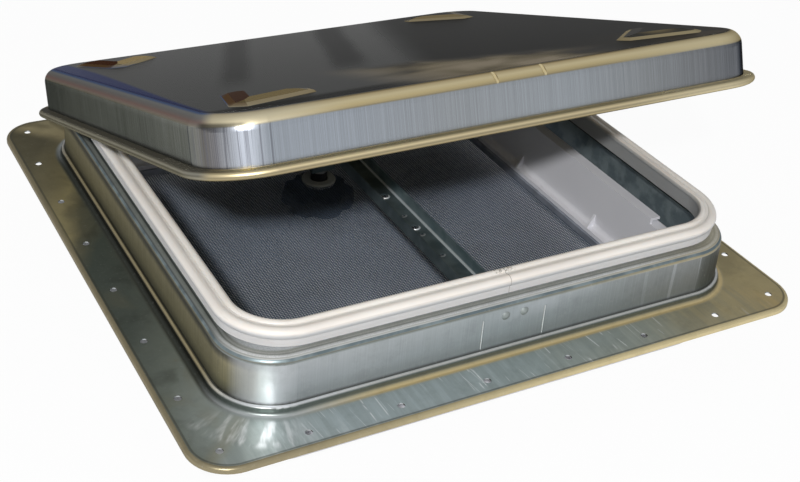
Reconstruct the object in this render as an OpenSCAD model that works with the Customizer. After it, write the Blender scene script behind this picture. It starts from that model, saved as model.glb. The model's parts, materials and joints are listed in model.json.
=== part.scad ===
// Crank-up caravan roof vent: a pressed steel base with a raised curb, a hinged steel lid, a worm-driven
// lift arm under a cross channel, and a white inside garnish with an insect screen.
// Millimetres. The origin is the centre of the roof flange's top face, +Z is up and the hinge is at the
// back, towards +Y. The lid is drawn part open, as it rests.

/* [Roof flange] */
// Width of the square flange over its edges
flange_w = 465; // [420:1:510]
// Width of the flange outside the curb
flange_border = 35.5; // [34:0.5:40]
// Corner radius of the flange
flange_r = 28; // [22:1:36]
// Thickness of the base's steel sheet
sheet = 0.9; // [0.7:0.1:1.2]
// Radius of the flange's rolled edge
edge_r = 2.4; // [1.6:0.1:3]
// Depth of the rolled edge below the flange's top
edge_drop = 4; // [3.2:0.1:6]
// Diameter of the roof screw holes
hole_d = 5; // [4:0.1:6]
// Screw holes along each side between the corners
side_holes = 6; // [2:2:6]
// Distance between neighbouring holes of a side
hole_pitch = 63.5; // [50:0.5:66]
// Distance of the side holes from the flange's edge
hole_inset = 13; // [10:0.5:15]
// Distance of the corner holes from both edges
corner_inset = 18.6; // [16:0.1:21]

/* [Curb] */
// Corner radius of the curb
curb_r = 40; // [37:0.5:46]
// Height of the curb's ledge above the flange
curb_h = 39.5; // [37:0.5:44]
// Radius of the curb's shoulder
shoulder_r = 4.5; // [3:0.5:5]
// Height of the bead round the curb's foot
foot_h = 6; // [5.2:0.1:6.5]
// How far the foot bead stands out from the curb
foot_w = 3; // [2.2:0.1:3.6]
// Rounding of the foot bead's top edge
foot_round = 1.8; // [1.2:0.1:2]
// Fillet between the foot bead and the flange
foot_fillet = 2.8; // [1.5:0.1:3.2]
// Height of the pressed creases in the curb's front wall
crease_h = 23; // [15:1:25]
// Distance between the two pressed creases
crease_span = 48.5; // [44:0.5:60]

/* [Collar and seal] */
// Distance from the curb's walls to the collar's middle line
ledge_w = 11; // [10.5:0.5:12]
// Corner radius of the collar's middle line
collar_r = 38; // [35:0.5:40]
// Height of the collar above the ledge
collar_h = 10.5; // [9:0.5:12]
// Gap between the seal and the collar
seal_gap = 0.15; // [0.1:0.05:0.3]
// Radius of the seal's outer bead
outer_bead_r = 4; // [3.2:0.1:4.4]
// Distance of the outer bead's centre outside the collar
outer_bead_x = 3.9; // [3.2:0.1:4.4]
// Height of the outer bead's centre above the collar
outer_bead_up = 2.3; // [1.5:0.1:3]
// Radius of the seal's inner bead
inner_bead_r = 2.7; // [2.2:0.1:3.2]
// Distance of the inner bead's centre inside the collar
inner_bead_x = 2.6; // [2:0.1:3.2]
// Height of the inner bead's centre above the collar
inner_bead_up = 4.6; // [4:0.1:5]
// Height of the groove between the beads above the collar
groove_up = 5.6; // [4.8:0.1:6]
// Distance of the skirt's outer face from the collar
skirt_out = 6.2; // [4:0.1:7]
// Gap between the skirt and the ledge
skirt_gap = 4.4; // [1:0.1:6]
// Distance of the inner leg's face from the collar
leg_in = 5; // [3:0.1:5.2]
// Height of the inner leg's end above the ledge
leg_up = 3.8; // [1:0.1:6]

/* [Lid] */
// Distance from the curb's walls to the outside of the lid's walls
lid_over = 7.3; // [7:0.1:8]
// Corner radius of the lid's walls
lid_r = 36; // [30:0.5:42]
// Height of the lid pan from its rim to its top
lid_h = 37.1; // [34:0.1:38]
// Thickness of the lid's sheet
lid_sheet = 0.8; // [0.6:0.05:1]
// Radius of the lid's top edge
lid_edge_r = 10; // [7:0.5:11]
// How far the rolled rim stands out from the lid's walls
rim_w = 7.7; // [6:0.1:9]
// Radius of the rolled rim
rim_r = 2.7; // [2:0.1:3]
// Gap between the seal and the closed lid
lid_gap = 0.4; // [0.3:0.1:1]
// How far the lid is open as it rests
lid_open = 19.8; // [0:0.1:45]
// How far the lid opens at most
lid_max = 45; // [45:1:50]
// Radius of the raised corner pads
pad_r = 34; // [26:1:38]
// Height of the corner pads
pad_h = 3.2; // [2:0.1:3.6]
// Width of the corner pads' slopes
pad_slope = 14; // [10:0.5:15]
// Distance of the pads' centres from the lid's walls
pad_inset = 54; // [48:1:70]
// Length of the pressed nicks over the front edge
nick_l = 16; // [10:1:18]
// Depth of the pressed nicks
nick_depth = 1.2; // [0.4:0.1:1.4]
// Diameter of the tool that pressed the nicks
nick_d = 3.4; // [2.8:0.1:4.4]
// Distance between the two nicks
nick_span = 36; // [20:1:60]
// Distance of the nicks' middle from the lid's middle
nick_mid = 4; // [-10:1:10]

/* [Hinge] */
// Distance of the hinge's ends from the curb's walls
hinge_end = 39; // [38:1:60]
// Diameter of the hinge's barrel
barrel_d = 6; // [5.6:0.1:6.2]
// Diameter of the hinge pin
hinge_pin_d = 3; // [2.5:0.1:3.4]
// Thickness of the hinge leaves
leaf_t = 1.2; // [1:0.1:1.4]
// Gap between the base leaf and the channel's rivets above it
base_leaf_gap = 1.5; // [0.6:0.1:2]
// Number of knuckles
knuckles = 11; // [7:2:15]
// Gap between neighbouring knuckles
knuckle_gap = 0.5; // [0.3:0.1:1]
// Gap between the hinge and what it is fixed to
hinge_gap = 0.2; // [0.15:0.05:0.3]
// Gap between the hinge's barrel and the foot bead
barrel_gap = 0.5; // [0.4:0.1:1]
// Number of rivets in each leaf
leaf_rivets = 4; // [2:2:6]
// Distance between neighbouring rivets of a leaf
leaf_rivet_pitch = 72; // [50:1:74]
// How far the rivets of the lid's leaf lie beside those of the base's leaf
leaf_rivet_shift = 18; // [14:1:22]
// Distance of the base leaf's rivets below its top edge
base_rivet_down = 5.5; // [4.5:0.1:6]
// Distance of the lid leaf's rivets below its top edge
lid_rivet_down = 7; // [6:0.5:10]

/* [Rivets] */
// Diameter of the rivets' shanks
rivet_d = 3.2; // [2.8:0.1:3.5]
// Diameter of the rivets' heads
rivet_head_d = 6.4; // [5.5:0.1:7]
// Height of the rivets' heads
rivet_head_h = 1.3; // [1:0.1:1.5]
// Diameter of the rivets' closed ends
rivet_tail_d = 5.4; // [4.6:0.1:6]
// Gap round the rivets
rivet_gap = 0.05; // [0.05:0.01:0.1]

/* [Cross channel] */
// Width of the channel
channel_w = 21; // [20:0.5:22]
// Height of the channel's sides
channel_h = 10; // [8:0.5:12]
// Thickness of the channel's sheet
channel_sheet = 1; // [0.8:0.1:1.4]
// Inside radius of the channel's bends
channel_bend = 2; // [1:0.1:2.5]
// Height of the channel's web above the flange
channel_z = 17.7; // [17:0.1:19]
// Height of the channel's end tabs above the web
tab_h = 17; // [15:0.5:18]
// Distance between the rivets of an end tab
tab_rivet_span = 14.5; // [9:0.5:14.5]
// Height of the end tabs' rivets above the web
tab_rivet_up = 11.8; // [10:0.1:12]
// Gap between the end tabs and the curb
tab_gap = 0.1; // [0.1:0.05:0.3]
// Diameter of the channel's large holes
big_hole_d = 6; // [4:0.1:8]
// Distances of the large holes in front of the middle
big_holes = [12.8, 61.2];
// Width of the raised lip round a large hole
hole_lip = 1.2; // [0.8:0.1:1.6]
// Diameter of the channel's small holes
small_hole_d = 3.5; // [2.5:0.1:4]
// Distances of the small holes in front of the middle
small_holes = [43.1, 71.4, 101.1];

/* [Crank] */
// Distance of the crank shaft to the right of the middle
shaft_x = 5; // [4:0.5:6]
// Distance of the crank shaft in front of the hinge
shaft_back = 90.2; // [88:0.1:92]
// Diameter of the crank shaft
shaft_d = 8; // [7:0.1:9]
// Outer diameter of the worm
worm_d = 10.4; // [10:0.1:11]
// Length of the worm
worm_l = 24; // [18:1:26]
// Depth of the worm's thread
worm_depth = 1.4; // [0.8:0.1:1.6]
// Diameter of the worm wheel over its teeth
wheel_d = 22.8; // [22:0.1:24]
// Number of teeth on the wheel
wheel_teeth = 18; // [12:1:24]
// Depth of the wheel's teeth
tooth_depth = 2.2; // [1.2:0.1:2.6]
// Width of the wheel's teeth
wheel_t = 5; // [4:0.1:6]
// Diameter of the wheel's hub
wheel_hub_d = 11; // [9:0.1:12]
// Gap between the wheel's teeth and the worm
mesh_gap = 0.4; // [0.3:0.05:0.6]
// Height of the wheel's pin, below the flange's top
pivot_down = 4; // [3:0.5:5]
// Diameter of the wheel's pin
pin_d = 6; // [5:0.1:7]
// Running gap round pins and shafts
run_gap = 0.05; // [0.03:0.01:0.08]
// Gap between pieces that move past each other
side_gap = 0.3; // [0.3:0.05:0.4]
// Thickness of the bracket's sheet
bracket_sheet = 1.5; // [1.2:0.1:1.8]
// Width of the bracket
bracket_w = 21; // [20:0.5:22]
// Distance from the shaft to the inside of the bracket's front plate
bracket_front = 7; // [6.4:0.1:9]
// Distance from the wheel's pin to the back of the bracket
bracket_back = 10; // [8:0.5:14]
// Depth of the bracket's bottom below the flange's top
bracket_down = 22; // [21:0.5:23]
// Gap between the bracket and the channel
bracket_gap = 0.1; // [0.1:0.05:0.3]
// Distance between the rivets that hold the bracket
bracket_rivet_span = 12; // [9:0.5:13]
// Distance of those rivets to the right of the middle
bracket_rivet_x = 2; // [0:0.5:4]
// Outer diameter of the bush in the bracket
bush_d = 11; // [10.5:0.1:12]
// Diameter of the bush's flange
bush_flange_d = 15; // [13:0.5:16]
// Thickness of the bush's flange
bush_flange_t = 1.8; // [1.2:0.1:2.2]

/* [Lift arm] */
// Length of the arm between its centres
arm_l = 118; // [116:0.5:121]
// Width of the arm
arm_w = 13; // [11:0.5:14]
// Thickness of the arm
arm_t = 2.5; // [2:0.1:3]
// Gap between the arm and the channel
arm_clear = 2; // [1.5:0.1:4]
// Diameter of the sleeve between the bracket and the arm
spacer_d = 10; // [9:0.1:12]
// Diameter of the pin's heads
pin_head_d = 10; // [9:0.1:12]
// Thickness of the pin's heads
pin_head_t = 1.4; // [1:0.1:2]
// Diameter of the nylon button
button_d = 7; // [6:0.1:7.2]
// Diameter of the button's head
button_head_d = 11.5; // [11:0.1:12.5]
// Thickness of the button's head
button_head_t = 1.6; // [1.2:0.1:2.2]
// Diameter of the button's stem through the arm
button_stem_d = 4; // [3:0.1:5]
// Thickness of the stem's closed end
button_tail_t = 1; // [0.8:0.1:1.4]
// Depth of the track's slot below the lid's underside
track_drop = 9; // [8:0.1:10]
// Height of the track's slot
slot_h = 8; // [7.8:0.1:8.4]
// Spare length at each end of the slot
slot_spare = 6; // [4:0.5:9]
// Thickness of the track's sheet
track_sheet = 1.4; // [1:0.1:1.6]
// Metal round the track's slot
track_edge = 4.5; // [4:0.1:6]
// Width of the track's flange under the lid
track_flange = 13; // [10:0.5:18]
// Gap between the arm and the track
track_clear = 2.2; // [1.5:0.1:4]
// Gap between the track's flange and the lid
track_gap = 0.1; // [0.1:0.05:0.3]

/* [Garnish] */
// Distance from the curb's walls to the inside of the garnish's walls
garnish_space = 22; // [21:0.5:24]
// Corner radius inside the garnish's walls
garnish_r = 24; // [20:0.5:30]
// Thickness of the garnish
garnish_t = 2.2; // [1.8:0.1:2.6]
// Height of the garnish's corners above the flange's top
garnish_top = 14.5; // [10:0.5:15]
// Height of the raised tongues above the flange's top
tongue_top = 19; // [16:0.5:21]
// Distance of the tongues' ends from the garnish's walls
tongue_end = 56; // [40:1:80]
// How far the lips of the tongues and corners reach outwards
lip_w = 7; // [4:0.5:8]
// Width of the gap in the tongues for the channel
tongue_gap = 34; // [28:0.5:40]
// Depth of the foot below the flange's top
foot_down = 25; // [24:0.5:27]
// How far the foot reaches inwards
foot_in = 7; // [5:0.5:9]
// Depth of the foot's inner edge
foot_lip = 3.5; // [3:0.1:5]
// Fillet between the wall and the foot
foot_corner = 4; // [2:0.5:5]
// Distance between the gussets on a wall
gusset_span = 107; // [80:1:140]
// Size of the gussets
gusset = 7; // [4:0.5:9]
// Depth of the garnish's ceiling face below the flange's top
ceiling_down = 41; // [40:0.5:44]
// How far the ceiling flange reaches outwards
ceiling_out = 18; // [16:0.5:24]
// Diameter of the ceiling screw holes
ceiling_hole_d = 4.5; // [3.5:0.1:5]
// Distance of the ceiling holes from the flange's edge
ceiling_hole_inset = 8; // [6:0.5:9]
// Distance between the ceiling holes of a side
ceiling_hole_span = 180; // [120:1:240]
// Diameter of the bosses under the channel
boss_d = 9; // [8:0.1:10]
// Gap between the bosses and the channel
boss_gap = 0.3; // [0.2:0.05:0.4]
// Diameter of the garnish screws
garnish_screw_d = 3; // [2.5:0.1:3.5]
// Length of the garnish screws
garnish_screw_l = 11; // [8:0.5:13]
// Diameter of the garnish screws' heads
garnish_screw_head_d = 6; // [5:0.1:6.5]
// Height of the garnish screws' heads
garnish_screw_head_h = 2; // [1.5:0.1:2.5]

/* [Insect screen] */
// Width of the screen frame's bars
bar_w = 9; // [8.5:0.1:10]
// Height of the screen frame's bars
bar_h = 5; // [4.4:0.1:5.4]
// Gap round the screen frame
screen_gap = 0.3; // [0.2:0.05:0.4]
// Diameter of the cord that holds the mesh
spline_d = 2.6; // [2:0.1:2.8]
// Gap round the cord
spline_gap = 0.1; // [0.1:0.05:0.2]
// Distance of the cord's groove from the frame's inner edge
groove_in = 4.6; // [4:0.1:5]
// Gaps along one side of the mesh
mesh_n = 17; // [9:2:17]
// Width of a strand of the mesh
strand_w = 1.6; // [1:0.1:2]
// Thickness of the mesh
mesh_t = 0.8; // [0.6:0.1:1]
// Gap between the mesh and its frame
mesh_seat = 0.1; // [0.1:0.05:0.2]
// Number of tabs under each side of the frame
snap_tabs = 3; // [2:1:5]
// Length of a tab
snap_l = 18; // [10:1:30]
// How far a tab reaches inwards
snap_in = 2; // [1.5:0.1:2.5]
// Thickness of a tab
snap_t = 1.5; // [1:0.1:1.6]
// Outer diameter of the grommet
grommet_d = 29; // [26:0.5:32]
// Hole through the grommet
grommet_hole_d = 15.6; // [15.2:0.1:17]
// Diameter of the solid patch of mesh round the grommet
patch_d = 27; // [25:0.5:30]
// Diameter of the grommet's neck
grommet_neck_d = 21; // [19.5:0.5:23]
// Thickness of the grommet's flanges
grommet_t = 1.8; // [1.2:0.1:2]
// Gap between the grommet and the mesh
grommet_gap = 0.1; // [0.1:0.05:0.2]

/* [Knob] */
// Diameter of the knob over its lobes
knob_d = 62; // [54:1:70]
// Thickness of the knob
knob_h = 14.5; // [12:0.5:16]
// Rounding of the knob's edges
knob_round = 4; // [2:0.5:5]
// Number of lobes
lobes = 6; // [5:1:8]
// Diameter of the hollows between the lobes
hollow_d = 22; // [16:1:28]
// Depth of the hollows between the lobes
hollow_depth = 6; // [2:0.5:7]
// Diameter of the knob's hub
hub_d = 14; // [13.6:0.1:14.4]
// Gap between the knob and the mesh
knob_down = 7.5; // [5:0.5:14]
// Diameter of the recess in the knob's face
recess_d = 26; // [18:0.5:32]
// Depth of the recess in the knob's face
recess_depth = 3; // [2.5:0.5:5]
// Diameter of the thrust washer on the hub
washer_d = 13; // [12:0.1:14]
// Thickness of the thrust washer
washer_t = 1.1; // [0.8:0.1:1.5]
// Diameter of the knob's screw
knob_screw_d = 4; // [3:0.1:4.5]
// Length of the knob's screw
knob_screw_l = 14; // [10:0.5:16]
// Diameter of the knob screw's head
knob_screw_head_d = 8; // [7:0.1:9]
// Height of the knob screw's head
knob_screw_head_h = 2.2; // [1.5:0.1:2.4]
// Thickness of the knob's face over the shaft's end
knob_face = 3; // [2:0.5:4]

/* [Hidden] */
$fn = 64;
// A cut's small overshoot, so that it leaves no skin
cut = 1;

// Base
flange_half = flange_w / 2;
hole_line = flange_half - hole_inset;
corner_line = flange_half - corner_inset;
curb_half = flange_half - flange_border;
foot_reach = foot_w + foot_fillet;
curb_in = curb_half - sheet;
collar_half = curb_half - ledge_w;
collar_top = curb_h + collar_h;

// Seal
outer_bead_z = collar_top + outer_bead_up;
inner_bead_z = collar_top + inner_bead_up;
seal_top = max(outer_bead_z + outer_bead_r, inner_bead_z + inner_bead_r);
seal_slot = sheet + 2 * seal_gap;

// Lid, in its closed place
lid_half = curb_half + lid_over;
lid_under = seal_top + lid_gap;
lid_top = lid_under + lid_sheet;
rim_z = lid_top - lid_h;
pad_place = lid_half - pad_inset;

// Hinge
hinge_l = 2 * (curb_half - hinge_end);
hinge_y = curb_half + hinge_gap + barrel_d / 2;
hinge_z = foot_h + barrel_gap + barrel_d / 2;
base_leaf_y = curb_half + hinge_gap;
lid_leaf_y = lid_half - lid_sheet - hinge_gap - leaf_t;
lid_leaf_top = lid_top - lid_edge_r - hinge_gap;
knuckle_l = hinge_l / knuckles;
lid_rivet_z = lid_leaf_top - lid_rivet_down;

// Channel
channel_bottom = channel_z - channel_sheet;
tab_y = curb_in - tab_gap;
tab_rivet_z = channel_z + tab_rivet_up;
base_leaf_top = tab_rivet_z - rivet_head_d / 2 - base_leaf_gap;
base_rivet_z = base_leaf_top - base_rivet_down;

// Crank
shaft_y = hinge_y - shaft_back;
pivot_y = shaft_y + worm_d / 2 + mesh_gap + wheel_d / 2;
pivot_z = -pivot_down;
worm_lead = PI * (wheel_d - tooth_depth) / wheel_teeth;
bracket_top = channel_bottom - bracket_gap;
bracket_y = shaft_y - bracket_front - bracket_sheet;
bracket_end = pivot_y + bracket_back;
bracket_left = shaft_x - bracket_w / 2;
bracket_right = shaft_x + bracket_w / 2;
shaft_top = bracket_top - side_gap;
bush_bottom = -bracket_down - run_gap - bush_flange_t;
washer_top = bush_bottom - side_gap;
hub_top = washer_top - washer_t - run_gap;

// Lift arm: the button on its end runs in a slot that is parallel to the lid
arm_right = -channel_w / 2 - arm_clear;
arm_left = arm_right - arm_t;
track_x = arm_left - track_clear;
pivot_back = hinge_y - pivot_y;
pivot_below = hinge_z - pivot_z;
slot_up = lid_under - track_drop - hinge_z;
function arm_angle(open) =
  open + asin((slot_up + pivot_back * sin(open) + pivot_below * cos(open)) / arm_l);
function slide_at(open) =
  (pivot_back + arm_l * cos(arm_angle(open))) * cos(open)
  + (arm_l * sin(arm_angle(open)) - pivot_below) * sin(open);
slot_far = slide_at(0) + slot_spare;
slot_near = slide_at(lid_max) - slot_spare;
arm_rest = arm_angle(lid_open);
button_y = pivot_y - arm_l * cos(arm_rest);
button_z = pivot_z + arm_l * sin(arm_rest);

// Garnish and screen
garnish_in = curb_half - garnish_space;
tongue_l = 2 * (garnish_in - tongue_end);
garnish_out = garnish_in + garnish_t;
garnish_out_r = garnish_r + garnish_t;
ceiling_half = garnish_out + ceiling_out;
ceiling_line = ceiling_half - ceiling_hole_inset;
foot_bottom = -foot_down - foot_lip;
boss_top = channel_bottom - boss_gap;
boss_y = garnish_out - boss_d / 2;
frame_top = foot_bottom - screen_gap;
frame_bottom = frame_top - bar_h;
frame_out = garnish_in - screen_gap;
frame_in = frame_out - bar_w;
spline_line = frame_in + groove_in + spline_d / 2;
mesh_top = frame_bottom - mesh_seat;
mesh_bottom = mesh_top - mesh_t;
mesh_half = frame_in + groove_in - spline_gap;
mesh_pitch = (2 * frame_in - strand_w) / mesh_n;
mesh_open = mesh_pitch - strand_w;
snap_top = frame_bottom - screen_gap;

// Knob
knob_top = mesh_bottom - knob_down;
knob_bottom = knob_top - knob_h;
shaft_bottom = knob_bottom + recess_depth + knob_face;

// Flat square with round corners
module round_square(half, r) {
  square([2 * half, 2 * (half - r)], center = true);
  square([2 * (half - r), 2 * half], center = true);
  for (sx = [-1, 1], sy = [-1, 1])
    translate([sx * (half - r), sy * (half - r)]) circle(r = r);
}

// Sweeps a profile round a square with round corners. The profile's X is outwards from the square.
module round_frame(half, r) {
  for (side = [0:3]) rotate(90 * side) {
    translate([half, half - r, 0]) rotate([90, 0, 0]) linear_extrude(2 * (half - r)) children();
    translate([half - r, half - r, 0]) rotate_extrude(angle = 90) translate([r, 0]) children();
  }
}

// Puts what is drawn for the closed lid in the lid's resting place
module on_lid() {
  translate([0, hinge_y, hinge_z]) rotate([-lid_open, 0, 0]) translate([0, -hinge_y, -hinge_z]) children();
}

// Copies of what is drawn, in a row along X
module row_x(count, pitch) {
  for (i = [0:count - 1]) translate([(i - (count - 1) / 2) * pitch, 0, 0]) children();
}

// Rivet along Z through a grip that starts at Z = 0 and goes down, with a domed head on top
module rivet(grip) {
  dome_r = (pow(rivet_head_d / 2, 2) + pow(rivet_head_h, 2)) / (2 * rivet_head_h);
  translate([0, 0, rivet_gap]) intersection() {
    translate([0, 0, rivet_head_h - dome_r]) sphere(r = dome_r);
    cylinder(d = rivet_head_d, h = rivet_head_h);
  }
  translate([0, 0, -grip - 2 * rivet_gap]) cylinder(d = rivet_d, h = grip + 4 * rivet_gap);
  translate([0, 0, -grip - rivet_gap - rivet_head_h]) cylinder(d = rivet_tail_d, h = rivet_head_h);
}

// Hole for a rivet along Z
module rivet_hole(depth) {
  translate([0, 0, -depth]) cylinder(d = rivet_d + 2 * rivet_gap, h = 2 * depth);
}

// Places of the fasteners
module at_channel_rivets(y) {
  for (back = [0, 1]) rotate(180 * back)
    translate([0, -y, tab_rivet_z]) rotate([90, 0, 0]) row_x(2, tab_rivet_span) children();
}

module at_base_rivets(y) {
  translate([-leaf_rivet_shift, y, base_rivet_z]) rotate([-90, 0, 0])
    row_x(leaf_rivets, leaf_rivet_pitch) children();
}

module at_lid_rivets(y) {
  translate([leaf_rivet_shift, y, lid_rivet_z]) rotate([-90, 0, 0])
    row_x(leaf_rivets, leaf_rivet_pitch) children();
}

module at_bracket_rivets(z) {
  for (i = [-1, 1])
    translate([bracket_rivet_x, pivot_y + i * bracket_rivet_span / 2, z]) children();
}

module at_garnish_screws(z) {
  for (side = [-1, 1]) translate([0, side * boss_y, z]) children();
}

// Base: the outside of the curb, from its ledge down to the flange
module curb_outside() {
  deep = 2 * sheet;
  translate([-2 * shoulder_r, -deep]) square([2 * shoulder_r, curb_h - shoulder_r + deep]);
  translate([-2 * shoulder_r, 0]) square([shoulder_r, curb_h]);
  translate([-shoulder_r, curb_h - shoulder_r]) circle(shoulder_r);
  translate([-shoulder_r, -deep]) square([shoulder_r + foot_w, foot_h - foot_round + deep]);
  translate([-shoulder_r, 0]) square([shoulder_r + foot_w - foot_round, foot_h]);
  translate([foot_w - foot_round, foot_h - foot_round]) circle(foot_round);
  difference() {
    translate([foot_w, 0]) square(foot_fillet);
    translate([foot_reach, foot_fillet]) circle(foot_fillet);
  }
  translate([-shoulder_r, -deep]) square([shoulder_r + foot_reach + 2 * sheet, deep]);
}

module curb_profile() {
  intersection() {
    difference() {
      curb_outside();
      translate([-sheet, -sheet]) curb_outside();
    }
    translate([-2 * shoulder_r, -sheet]) square([2 * shoulder_r + foot_reach + sheet / 2, curb_h + sheet]);
  }
}

module edge_profile() {
  translate([-edge_r, -edge_r]) intersection() {
    difference() {
      circle(edge_r);
      circle(edge_r - sheet);
    }
    square(edge_r);
  }
  translate([-sheet, -edge_drop]) square([sheet, edge_drop - edge_r]);
}

module base_frame() {
  crease_x = crease_span / 2;
  color("darkseagreen") difference() {
    union() {
      translate([0, 0, -sheet]) linear_extrude(sheet) difference() {
        round_square(flange_half - edge_r, flange_r - edge_r);
        round_square(curb_half + foot_reach, curb_r + foot_reach);
      }
      round_frame(flange_half, flange_r) edge_profile();
      round_frame(curb_half, curb_r) curb_profile();
      translate([0, 0, curb_h - sheet]) linear_extrude(sheet) difference() {
        round_square(curb_half - shoulder_r, curb_r - shoulder_r);
        round_square(collar_half - sheet / 2, collar_r - sheet / 2);
      }
      round_frame(collar_half, collar_r)
        translate([-sheet / 2, curb_h - sheet]) square([sheet, collar_h + sheet]);
      for (sx = [-1, 1]) translate([sx * crease_x, -curb_half + sheet / 2, foot_h + sheet])
        cylinder(r = sheet, h = crease_h);
    }
    for (side = [0:3]) rotate(90 * side) {
      translate([0, -hole_line, -sheet - cut]) row_x(side_holes, hole_pitch)
        cylinder(d = hole_d, h = sheet + 2 * cut);
      translate([corner_line, -corner_line, -sheet - cut]) cylinder(d = hole_d, h = sheet + 2 * cut);
    }
    at_channel_rivets(curb_half) rivet_hole(2 * sheet);
    at_base_rivets(curb_half) rivet_hole(2 * sheet);
  }
}

module seal_profile() {
  difference() {
    union() {
      translate([outer_bead_x, outer_bead_z]) circle(outer_bead_r);
      translate([-inner_bead_x, inner_bead_z]) circle(inner_bead_r);
      translate([-inner_bead_x, curb_h + skirt_gap])
        square([inner_bead_x + outer_bead_x, collar_h + groove_up - skirt_gap]);
      translate([0, curb_h + skirt_gap]) square([skirt_out, outer_bead_z - curb_h - skirt_gap]);
      translate([-leg_in, curb_h + leg_up]) square([leg_in, inner_bead_z - curb_h - leg_up]);
    }
    translate([-seal_slot / 2, curb_h]) square([seal_slot, collar_h + seal_gap]);
  }
}

module lid_seal() {
  color("antiquewhite") round_frame(collar_half, collar_r) seal_profile();
}

// Lid, closed: a pan with round top edges and a rim rolled out and under
module pan_outline(inset) {
  r = lid_edge_r - inset;
  top = lid_h - inset;
  translate([-lid_edge_r, -cut]) square([lid_edge_r - inset, top - r + cut]);
  translate([-lid_edge_r, top - r]) intersection() {
    circle(r);
    square(r);
  }
}

module lid_profile() {
  curl_x = rim_w - rim_r;
  difference() {
    pan_outline(0);
    pan_outline(lid_sheet);
    translate([-lid_edge_r - cut, -2 * cut]) square([lid_edge_r + 2 * cut, 2 * rim_r - lid_sheet + 2 * cut]);
  }
  translate([-lid_sheet, 2 * rim_r - lid_sheet]) square([lid_sheet + curl_x, lid_sheet]);
  translate([curl_x, rim_r]) difference() {
    circle(rim_r);
    circle(rim_r - lid_sheet);
    translate([-rim_r, -rim_r / 2]) square([rim_r, rim_r]);
  }
}

// Three-sided pad with round corners: the lower half of its height is steep, the upper half is gentle
module pad() {
  steep = pad_slope / 3;
  side_r = 1.3 * pad_r;
  intersection() {
    union() {
      translate([0, 0, -lid_sheet]) cylinder(r = side_r, h = lid_sheet, $fn = 3);
      cylinder(r1 = side_r, r2 = side_r - 2 * steep, h = pad_h / 2, $fn = 3);
      translate([0, 0, pad_h / 2])
        cylinder(r1 = side_r - 2 * steep, r2 = side_r - 2 * pad_slope, h = pad_h / 2, $fn = 3);
    }
    union() {
      translate([0, 0, -lid_sheet]) cylinder(r = pad_r, h = lid_sheet);
      cylinder(r1 = pad_r, r2 = pad_r - steep, h = pad_h / 2);
      translate([0, 0, pad_h / 2]) cylinder(r1 = pad_r - steep, r2 = pad_r - pad_slope, h = pad_h / 2);
    }
  }
}

module pads(drop) {
  for (side = [0:3]) rotate(90 * side)
    translate([pad_place, pad_place, lid_top - drop]) rotate(45) pad();
}

// Round bars that press the nicks into the front edge, larger by the sheet for their inside
module nicks(grow) {
  for (sx = [-1, 1])
    translate([nick_mid + sx * nick_span / 2, -lid_half + lid_edge_r, lid_top - lid_edge_r]) rotate([45, 0, 0])
      translate([0, nick_l / 2, lid_edge_r + nick_d / 2 - nick_depth])
        rotate([90, 0, 0]) cylinder(d = nick_d + 2 * grow, h = nick_l);
}

// Solid within the lid's front edge
module front_edge(length) {
  translate([nick_mid, 0, rim_z]) rotate(-90) translate([lid_half, length / 2, 0]) rotate([90, 0, 0])
    linear_extrude(length) pan_outline(0);
}

module lid_pressing() {
  difference() {
    union() {
      translate([0, 0, rim_z]) round_frame(lid_half, lid_r) lid_profile();
      translate([0, 0, lid_under]) linear_extrude(lid_sheet)
        round_square(lid_half - lid_edge_r, lid_r - lid_edge_r);
      pads(0);
      intersection() {
        nicks(lid_sheet);
        front_edge(nick_span + 4 * nick_d);
      }
    }
    pads(lid_sheet);
    nicks(0);
    at_lid_rivets(lid_half) rivet_hole(2 * lid_sheet);
  }
}

module lid_shell() {
  color("lightgray") on_lid() lid_pressing();
}

// Hinge
module barrel(first) {
  rotate([0, 90, 0]) for (i = [first:2:knuckles - 1])
    translate([0, 0, -hinge_l / 2 + i * knuckle_l + knuckle_gap / 2])
      cylinder(d = barrel_d, h = knuckle_l - knuckle_gap);
}

module pin_bore() {
  rotate([0, 90, 0]) cylinder(d = hinge_pin_d + 2 * run_gap, h = hinge_l + 2 * cut, center = true);
}

// Room round the other leaf's knuckles
module knuckle_room(first) {
  rotate([0, 90, 0]) for (i = [first:2:knuckles - 1])
    translate([0, 0, -hinge_l / 2 + i * knuckle_l - knuckle_gap / 2])
      cylinder(d = barrel_d + 2 * knuckle_gap, h = knuckle_l + knuckle_gap);
}

module hinge_leaf(y, height, first) {
  difference() {
    union() {
      translate([-hinge_l / 2 + knuckle_gap / 2, y - hinge_y, 0])
        cube([hinge_l - knuckle_gap, leaf_t, height]);
      barrel(first);
    }
    pin_bore();
    knuckle_room(1 - first);
  }
}

module hinge_base_leaf() {
  color("silver") difference() {
    translate([0, hinge_y, hinge_z]) hinge_leaf(base_leaf_y, base_leaf_top - hinge_z, 0);
    at_base_rivets(base_leaf_y) rivet_hole(2 * leaf_t);
  }
}

module hinge_lid_leaf() {
  color("silver") on_lid() difference() {
    translate([0, hinge_y, hinge_z]) hinge_leaf(lid_leaf_y, lid_leaf_top - hinge_z, 1);
    at_lid_rivets(lid_leaf_y) rivet_hole(2 * leaf_t);
  }
}

module hinge_pin() {
  color("gray") translate([-hinge_l / 2, hinge_y, hinge_z]) rotate([0, 90, 0])
    cylinder(d = hinge_pin_d, h = hinge_l);
}

module hinge_base_rivets() {
  color("silver") at_base_rivets(base_leaf_y + leaf_t) rivet(leaf_t + hinge_gap + sheet);
}

module hinge_lid_rivets() {
  color("silver") on_lid() at_lid_rivets(lid_half) rivet(lid_sheet + hinge_gap + leaf_t);
}

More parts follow.
